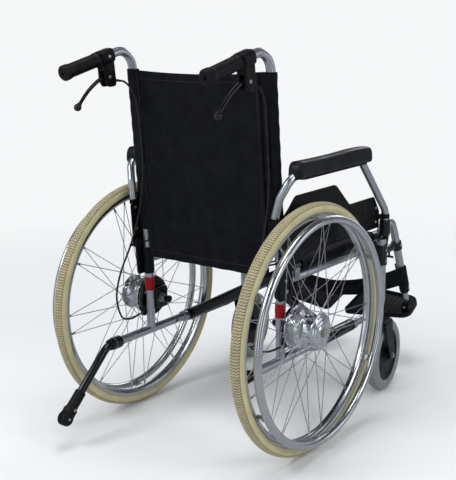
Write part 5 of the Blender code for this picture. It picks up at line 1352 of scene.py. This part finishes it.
def seat_points(u, v):
    """The sling: over each tube an arc about its middle, from -62 to 90 degrees, and between them a sag of
    4p(1-p) that is deepest halfway along, with faint folds by the tubes."""
    sag = scene_settings("wheelchair_cloth").seat_sag
    y = SLING_YS[0] + (SLING_YS[1] - SLING_YS[0]) * v
    side = np.where(u < 0.5, -1, 1)
    turn = np.radians(-62 + 152 * np.clip(np.minimum(u, 1 - u) / 0.18, 0, 1))
    part = np.clip((u - 0.18) / 0.64, 0, 1)
    dip = 4 * part * (1 - part)
    flat = (u >= 0.18) & (u <= 0.82)
    x = np.where(flat, FRAME_X * (2 * part - 1), side * (FRAME_X + WRAP_R * np.cos(turn)))
    fold = 0.0007 * np.sin(22 * v + 5 * part) * np.sin(math.pi * part) ** 0.5 * np.exp(-8 * dip)
    low = SEAT_Z + WRAP_R - sag * dip * (0.6 + 0.4 * np.sin(math.pi * v)) + fold
    return np.stack([x, AXLE_Y + y, np.where(flat, low, SEAT_Z + WRAP_R * np.sin(turn))], axis=-1)


def back_points(across, z):
    """The panel between the sleeves: bowed back by a sine of its height, its top edge hanging lower in the
    middle, with slack folds at the foot and creases that run down and in from the corners."""
    v = np.clip((z - BACK_ZS[0]) / (BACK_ZS[1] - BACK_ZS[0]), 0, 1)
    share = across * PANEL_X / FRAME_X
    dip = 1 - share**2
    swell = scene_settings("wheelchair_cloth").back_swell * np.sin(math.pi * v**0.8)
    slack = 0.0016 * np.sin(7 * math.pi * share) * (1 - v) ** 2
    crease = 0
    folds = ((0.9, 0.10, 0.0016), (1.2, 0.17, 0.0012), (0.7, 0.26, 0.0010), (-1.0, 0.20, 0.0012))
    for slant, offset, depth in folds:
        away = z - BACK_ZS[0] - offset - slant * 0.12 * np.abs(share - 0.05 * slant)
        crease += depth * np.exp(-((away / 0.011) ** 2)) * np.exp(-(((np.abs(share) - 0.62) / 0.30) ** 2))
    y = frame_line(z) + WRAP_R + 0.0016 + (swell + slack + crease) * dip
    return np.stack([PANEL_X * across, AXLE_Y + y, z - 0.008 * dip * v**6], axis=-1)


def seat():
    """The sling over the two seat tubes, its hems and seams, and the rivets along each tube."""
    points = seat_points(*np.meshgrid(np.linspace(0, 1, 150), np.linspace(0, 1, 60)))
    made = fabric("seat_cloth", points, hemmed(points, CLOTH_T * 0.75, 3, 1.35), None, ["seat_sling"])
    lines = []
    for v in (0.045, 0.955):
        hem = seat_points(np.linspace(0.03, 0.97, 120), np.full(120, v))
        lines += stitches(hem + Z * (CLOTH_T * 0.5), Z)
    for u in (0.235, 0.765):
        seam = seat_points(np.full(60, u), np.linspace(0.04, 0.96, 60)) + Z * (CLOTH_T * 0.42)
        lines += stitches(seam, Z) + stitches(seam + X * 0.006, Z)
    seams = piece("seat_stitches", lines, "thread", None)
    screws = []
    for s in (-1, 1):
        for v in (0.08, 0.36, 0.64, 0.92):
            spot = seat_points(np.array(0.5 + 0.4 * s), np.array(v))
            way = unit((spot - at(s * FRAME_X, 0, SEAT_Z)) * (1, 0, 1))
            screws.append(screw_head(spot + way * CLOTH_T * 0.4, way, 0.0042, 0.0016))
    rivets = piece("seat_rivets", screws, "moulded", None)
    for part in (made, seams, rivets):
        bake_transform(part)


def sleeve_section():
    """One sleeve's outline, for the left side: from the seam over the tube's rear, round it and back."""
    turn = np.radians(np.linspace(90, -112, 30))
    arc = np.column_stack([FRAME_X + WRAP_R * np.cos(turn), WRAP_R * np.sin(turn)])
    rear = np.column_stack([np.linspace(SEAM_X - 0.003, FRAME_X, 8)[:-1], np.full(7, WRAP_R)])
    share = np.linspace(0, 1, 12)[1:, None]
    back = arc[-1] + (np.array((SEAM_X - 0.003, WRAP_R - 0.0026)) - arc[-1]) * share
    return np.concatenate([rear, arc, back + np.sin(np.pi * share) * (0.0, -0.0012)])


def backrest():
    """The two sleeves on the back tubes and the panel between them, which the fold squashes."""
    levels = np.linspace(SLEEVE_FOOT_Z, BACK_ZS[1], 70)[:, None]
    section = sleeve_section()
    swell = 1 + 0.0005 * np.sin(levels * 160 + np.arange(len(section)) * 0.35) / WRAP_R
    x = FRAME_X + (section[:, 0] - FRAME_X) * swell
    y = AXLE_Y + frame_line(levels) + section[:, 1] * swell
    seam_z = np.linspace(SLEEVE_FOOT_Z + 0.004, BACK_ZS[1] - 0.005, 90)
    for d, s in SIDES:
        points = np.stack([s * x, y, levels + 0 * x], axis=-1)
        fabric(f"back_sleeve_{d}", points, hemmed(points, 0.0013, 3), FRAME_OF[d])
        rows = []
        for shift in (0.0, 0.0045):
            seam_x = s * (SEAM_X - 0.0025 + shift)
            rows += stitches([at(seam_x, frame_line(z) + WRAP_R + 0.0036, z) for z in seam_z], Y)
        piece(f"sleeve_stitches_{d}", rows, "thread", FRAME_OF[d])
    points = back_points(*np.meshgrid(np.linspace(-1, 1, 121), np.linspace(*BACK_ZS, 110)))
    panel = fabric("back_panel", points, hemmed(points, 0.0016, 5, 1.6), "right_frame", ["back_upholstery"])
    span, rise = np.linspace(-0.97, 0.97, 120), np.linspace(BACK_ZS[0] + 0.004, BACK_ZS[1] - 0.004, 140)
    lines = [(span, np.full(120, level)) for level in (BACK_ZS[0] + 0.020, BACK_ZS[1] - 0.020)]
    lines += [(np.full(140, column), rise) for column in (-0.957, 0.957)]
    rows = [stitch for line in lines for stitch in stitches(back_points(*line) + Y * 0.0010, Y)]
    hems = piece("back_stitches", rows, "thread", "right_frame")
    for part in (panel, hems):
        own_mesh(part)


def strap_height(share):
    """The heights across the calf strap, which is narrowed toward its middle by a sine."""
    rows = np.linspace(-1, 1, 26)[:, None]
    return STRAP_Z + (0.038 - 0.014 * np.sin(math.pi * share)) * rows


def calf_strap():
    """Two halves that overlap in the middle, each sagging from the loop round its hanger."""
    slope_r = STRAP_LOOP_R / math.cos(HANGER_SLOPE)
    turn = np.radians(np.linspace(90, -196, 56))
    for d, s in SIDES:
        body = f"footrest_{d}"
        z = strap_height(0.30 * np.linspace(1, 0, 56))
        x = s * (FRAME_X + STRAP_LOOP_R * np.cos(turn)) + 0 * z
        points = np.stack([x, AXLE_Y + hanger_line(z) + slope_r * np.sin(turn), z], axis=-1)
        loop = fabric(f"strap_loop_{d}", points, hemmed(points, 0.0010, 2, 1.1), body)
        across = np.linspace(-0.03 if s > 0 else 0.02, 1.0, 70)
        z = strap_height(0.5 + 0.2 * across)
        dip = 1 - across**2
        lift = (0.0022 if s < 0 else 0.0) * (1 - across**4)
        y = hanger_line(z) + slope_r + 0.052 * dip + lift
        points = np.stack([s * FRAME_X * across + 0 * z, AXLE_Y + y, z - 0.048 * dip], axis=-1)
        names = ["calf_strap"] if s < 0 else []
        half = fabric(f"strap_half_{d}", points, hemmed(points, 0.0015, 2), body, names)
        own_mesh(half)


# Camera, floor and lights


def posed(name, data, columns, spot):
    """An object linked to the scene, its own X, Y and Z along three columns, at a spot."""
    made = bpy.data.objects.new(name, data)
    matrix = np.eye(4)
    matrix[:3, :3] = columns
    matrix[:3, 3] = spot
    made.matrix_world = Matrix(matrix.tolist())
    bpy.context.scene.collection.objects.link(made)
    return made


def stage():
    settings = scene_settings("wheelchair_stage")
    turn, rise, roll = settings.azimuth, settings.elevation, settings.roll
    back = np.array((math.sin(turn) * math.cos(rise), -math.cos(turn) * math.cos(rise), math.sin(rise)))
    right = unit(np.cross(Z, back))
    up = np.cross(back, right)
    c, s = math.cos(roll), math.sin(roll)
    data = bpy.data.cameras.new("photo_camera")
    data.lens, data.sensor_width, data.clip_end = settings.lens, 36, 60
    columns = np.column_stack([c * right + s * up, -s * right + c * up, back])
    camera = posed("photo_camera", data, columns, at(*settings.camera_place))
    bpy.context.scene.camera = camera
    bowl = make_bowl()
    world = bpy.data.worlds.new("pale_room")
    world.use_nodes = True
    nodes, links = world.node_tree.nodes, world.node_tree.links
    nodes["Background"].inputs[0].default_value = (0.93, 0.96, 1.0, 1)
    mirror = nodes.new("ShaderNodeMapRange")
    mirror.inputs["To Min"].default_value = settings.fill
    mirror.inputs["To Max"].default_value = settings.mirror_fill
    links.new(nodes.new("ShaderNodeLightPath").outputs["Is Glossy Ray"], mirror.inputs["Value"])
    links.new(mirror.outputs[0], nodes["Background"].inputs[1])
    bpy.context.scene.world = world
    bpy.context.scene.view_settings.view_transform = "Standard"
    for name, spot, size, power in (
        ("key", (1.3, 3.0, 3.1), 1.6, 62),
        ("side", (-3.4, 0.2, 2.2), 1.4, 26),
        ("top", (-0.2, 0.1, 3.6), 1.8, 40),
        ("front", (0.6, -3.2, 2.0), 1.4, 16),
    ):
        data = bpy.data.lights.new(name, "AREA")
        data.shape, data.size, data.energy = "DISK", size, power
        away = unit(at(*spot) - at(0, 0, 0.45))
        lamp = posed(name, data, np.column_stack([*plane_of(away), away]), at(*spot))
        lamp.visible_camera = False


def make_bowl():
    """A round floor that curves up into a wall, its profile an arc between the two. Metal mirrors bright and
    dark strips on it in place of one even tone, and the camera sees its far part as plain and pale."""
    radius, wall, round_by, sides = 6.0, 3.4, 1.4, 96
    turn = np.radians(np.linspace(0, 90, 14))
    arc = np.column_stack([radius - round_by + round_by * np.sin(turn), round_by * (1 - np.cos(turn))])
    profile = np.concatenate([[(0.001, 0), (0.8, 0), (2.0, 0), (3.4, 0)], arc, [(radius, wall)]])[:, None]
    spin = circle(1.0, sides)
    grid = np.concatenate([profile[..., :1] * spin, profile[..., 1:] + 0 * spin[:, :1]], axis=-1)
    mesh = bpy.data.meshes.new("floor_bowl")
    quads = grid_faces(len(profile), sides, False, True).tolist()
    mesh.from_pydata(grid.reshape(-1, 3), [], [*quads, list(range(sides))])
    mesh.shade_smooth()
    base = (0.88, 0.89, 0.90)
    made = Finish("pale_floor", base, 0.0, 0.9)
    made.patches((0.86, 0.87, 0.885), 3, 3)
    away = made.away(made.place, (1, 1, 0))
    rays = made.node("LightPath", {}).outputs
    share = made.math("MULTIPLY", made.spread(away, 0, 1, 1.0, 2.6), rays["Is Camera Ray"])
    axes = made.node("SeparateXYZ", {"Vector": made.place}).outputs
    bands = made.math("SINE", made.math("MULTIPLY", made.math("ARCTAN2", axes[1], axes[0]), 7.0))
    strips = made.math("MULTIPLY", made.spread(bands, 0, 1.35, 0.1, 0.6), made.spread(away, 0, 1, 1.5, 4.0))
    strips = made.math("ADD", strips, made.spread(away, 0.34, 0.07, 1.2, 3.0))
    dull = made.math("MULTIPLY", rays["Is Glossy Ray"], 0.80)
    mirrored = made.node("Emission", {"Color": (0.90, 0.95, 1.0, 1), "Strength": strips}).outputs[0]
    ground = made.node("MixShader", {0: dull, 1: made.shader.outputs[0], 2: mirrored}).outputs[0]
    glow = made.node("Emission", {"Color": (0.945, 0.955, 0.965, 1), "Strength": 0.97}).outputs[0]
    mix = made.node("MixShader", {0: share, 1: ground, 2: glow}).outputs[0]
    out = next(node for node in made.tree.nodes if node.type == "OUTPUT_MATERIAL")
    made.tree.links.new(mix, out.inputs["Surface"])
    mesh.materials.append(made.material)
    return posed("floor_bowl", mesh, np.eye(3), (0, 0, 0))


# Settings, operators and panel


def number(name, description, default, unit_name="LENGTH", **limits):
    return bpy.props.FloatProperty(name=name, description=description, default=default, unit=unit_name,
                                   precision=5, **limits)


def paint(name, description, default):
    return bpy.props.FloatVectorProperty(name=name, description=description, default=default, size=3,
                                         subtype="COLOR", min=0, max=1)


class WheelchairStage(bpy.types.PropertyGroup):
    azimuth: number("Azimuth", "The camera's turn about Z", math.radians(217.695), "ROTATION")
    elevation: number("Elevation", "How far the camera looks down", math.radians(13.205), "ROTATION")
    roll: number("Roll", "The camera's turn about its own line of sight", math.radians(-0.873), "ROTATION")
    lens: number("Focal length", "The lens that fits the photograph", 70.096, "CAMERA", min=10)
    camera_place: bpy.props.FloatVectorProperty(
        name="Camera place", description="The camera, y from the rear axle", size=3, subtype="TRANSLATION",
        unit="LENGTH", default=(-1.40740, 1.78264, 1.02002))
    fill: number("Fill", "Strength of the room's even light", 0.50, "NONE", min=0)
    mirror_fill: number("Mirror fill", "How bright the room is where metal mirrors it", 0.11, "NONE", min=0)


class WheelchairWheels(bpy.types.PropertyGroup):
    tyre_half: number("Tyre half width", "Half the tyre's section", 0.0168, min=0.01, max=0.03)
    tread_pitches: bpy.props.IntProperty(name="Tread pitches", description="Cuts round the tyre", default=280,
                                         min=24)
    spokes: bpy.props.IntProperty(name="Spokes", description="Spokes of a rear wheel", default=36, min=12)
    lacing: number("Lacing", "Flange holes that a spoke leans past", 2.5, "NONE", min=0, max=4)
    tyre_colour: paint("Sidewall", "The tyre's side", (0.55, 0.505, 0.29))
    crown_colour: paint("Crown", "The tread that touches the floor", (0.53, 0.475, 0.29))
    groove_colour: paint("Grooves", "Dirt in the tread", (0.095, 0.066, 0.036))


class WheelchairFrame(bpy.types.PropertyGroup):
    tube_colour: paint("Tube paint", "The silver paint", (0.46, 0.485, 0.53))


class WheelchairCloth(bpy.types.PropertyGroup):
    cloth_colour: paint("Cloth", "The coated nylon", (0.0030, 0.0034, 0.0055))
    thread_pitch: number("Thread pitch", "One thread and its gap", 0.0006, min=0.0001)
    seat_sag: number("Seat sag", "The seat's deepest sag", 0.014, min=0)
    back_swell: number("Back swell", "How far the back bows rearwards", 0.010, min=0)


GROUPS = {
    "wheelchair_stage": WheelchairStage,
    "wheelchair_wheels": WheelchairWheels,
    "wheelchair_frame": WheelchairFrame,
    "wheelchair_cloth": WheelchairCloth,
}
STEPS = (
    (stage, "Set the camera, floor and lights"),
    (brakes, "Make the brake cables, housings and levers"),
    (rear_wheels, "Make the two spoked rear wheels"),
    (axles, "Make the axles and brake plates"),
    (casters, "Make the two casters"),
    (side_frames, "Make the side frames and their brackets"),
    (brace, "Make the folding cross brace"),
    (anti_tipper, "Make the anti-tipper and the open rail's cap"),
    (back_tubes, "Make the back tubes and grips"),
    (armrests, "Make the armrests and guards"),
    (footrests, "Make the footrests"),
    (seat, "Make the seat sling"),
    (backrest, "Make the back upholstery"),
    (calf_strap, "Make the calf strap"),
)


def operator(make, words):
    """An operator class for one step: its execute makes the step's pieces, and an error there is raised."""

    def execute(self, context):
        make()
        return {"FINISHED"}

    step = make.__name__
    label = step.replace("_", " ").capitalize()
    facts = {"bl_idname": f"wheelchair.{step}", "bl_label": label, "__doc__": words, "execute": execute}
    return type(f"WHEELCHAIR_OT_{step}", (bpy.types.Operator,), facts)


OPERATORS = [operator(*step) for step in STEPS]


class WHEELCHAIR_PT_looks(bpy.types.Panel):
    """The wheelchair's settings and the steps that make it."""

    bl_label = "Wheelchair"
    bl_space_type = "VIEW_3D"
    bl_region_type = "UI"
    bl_category = "Wheelchair"

    def draw(self, context):
        for name, group in GROUPS.items():
            column = self.layout.column(align=True)
            for setting in group.__annotations__:
                column.prop(getattr(context.scene, name), setting)
        column = self.layout.column(align=True)
        for made in OPERATORS:
            column.operator(made.bl_idname)


CLASSES = (*GROUPS.values(), *OPERATORS, WHEELCHAIR_PT_looks)


def register():
    for made in CLASSES:
        bpy.utils.register_class(made)
    for name, group in GROUPS.items():
        setattr(bpy.types.Scene, name, bpy.props.PointerProperty(type=group))


def unregister():
    for name in GROUPS:
        delattr(bpy.types.Scene, name)
    for made in CLASSES[::-1]:
        bpy.utils.unregister_class(made)


def main():
    register()
    for make, _ in STEPS:
        getattr(bpy.ops.wheelchair, make.__name__)()


if __name__ == "__main__":
    main()
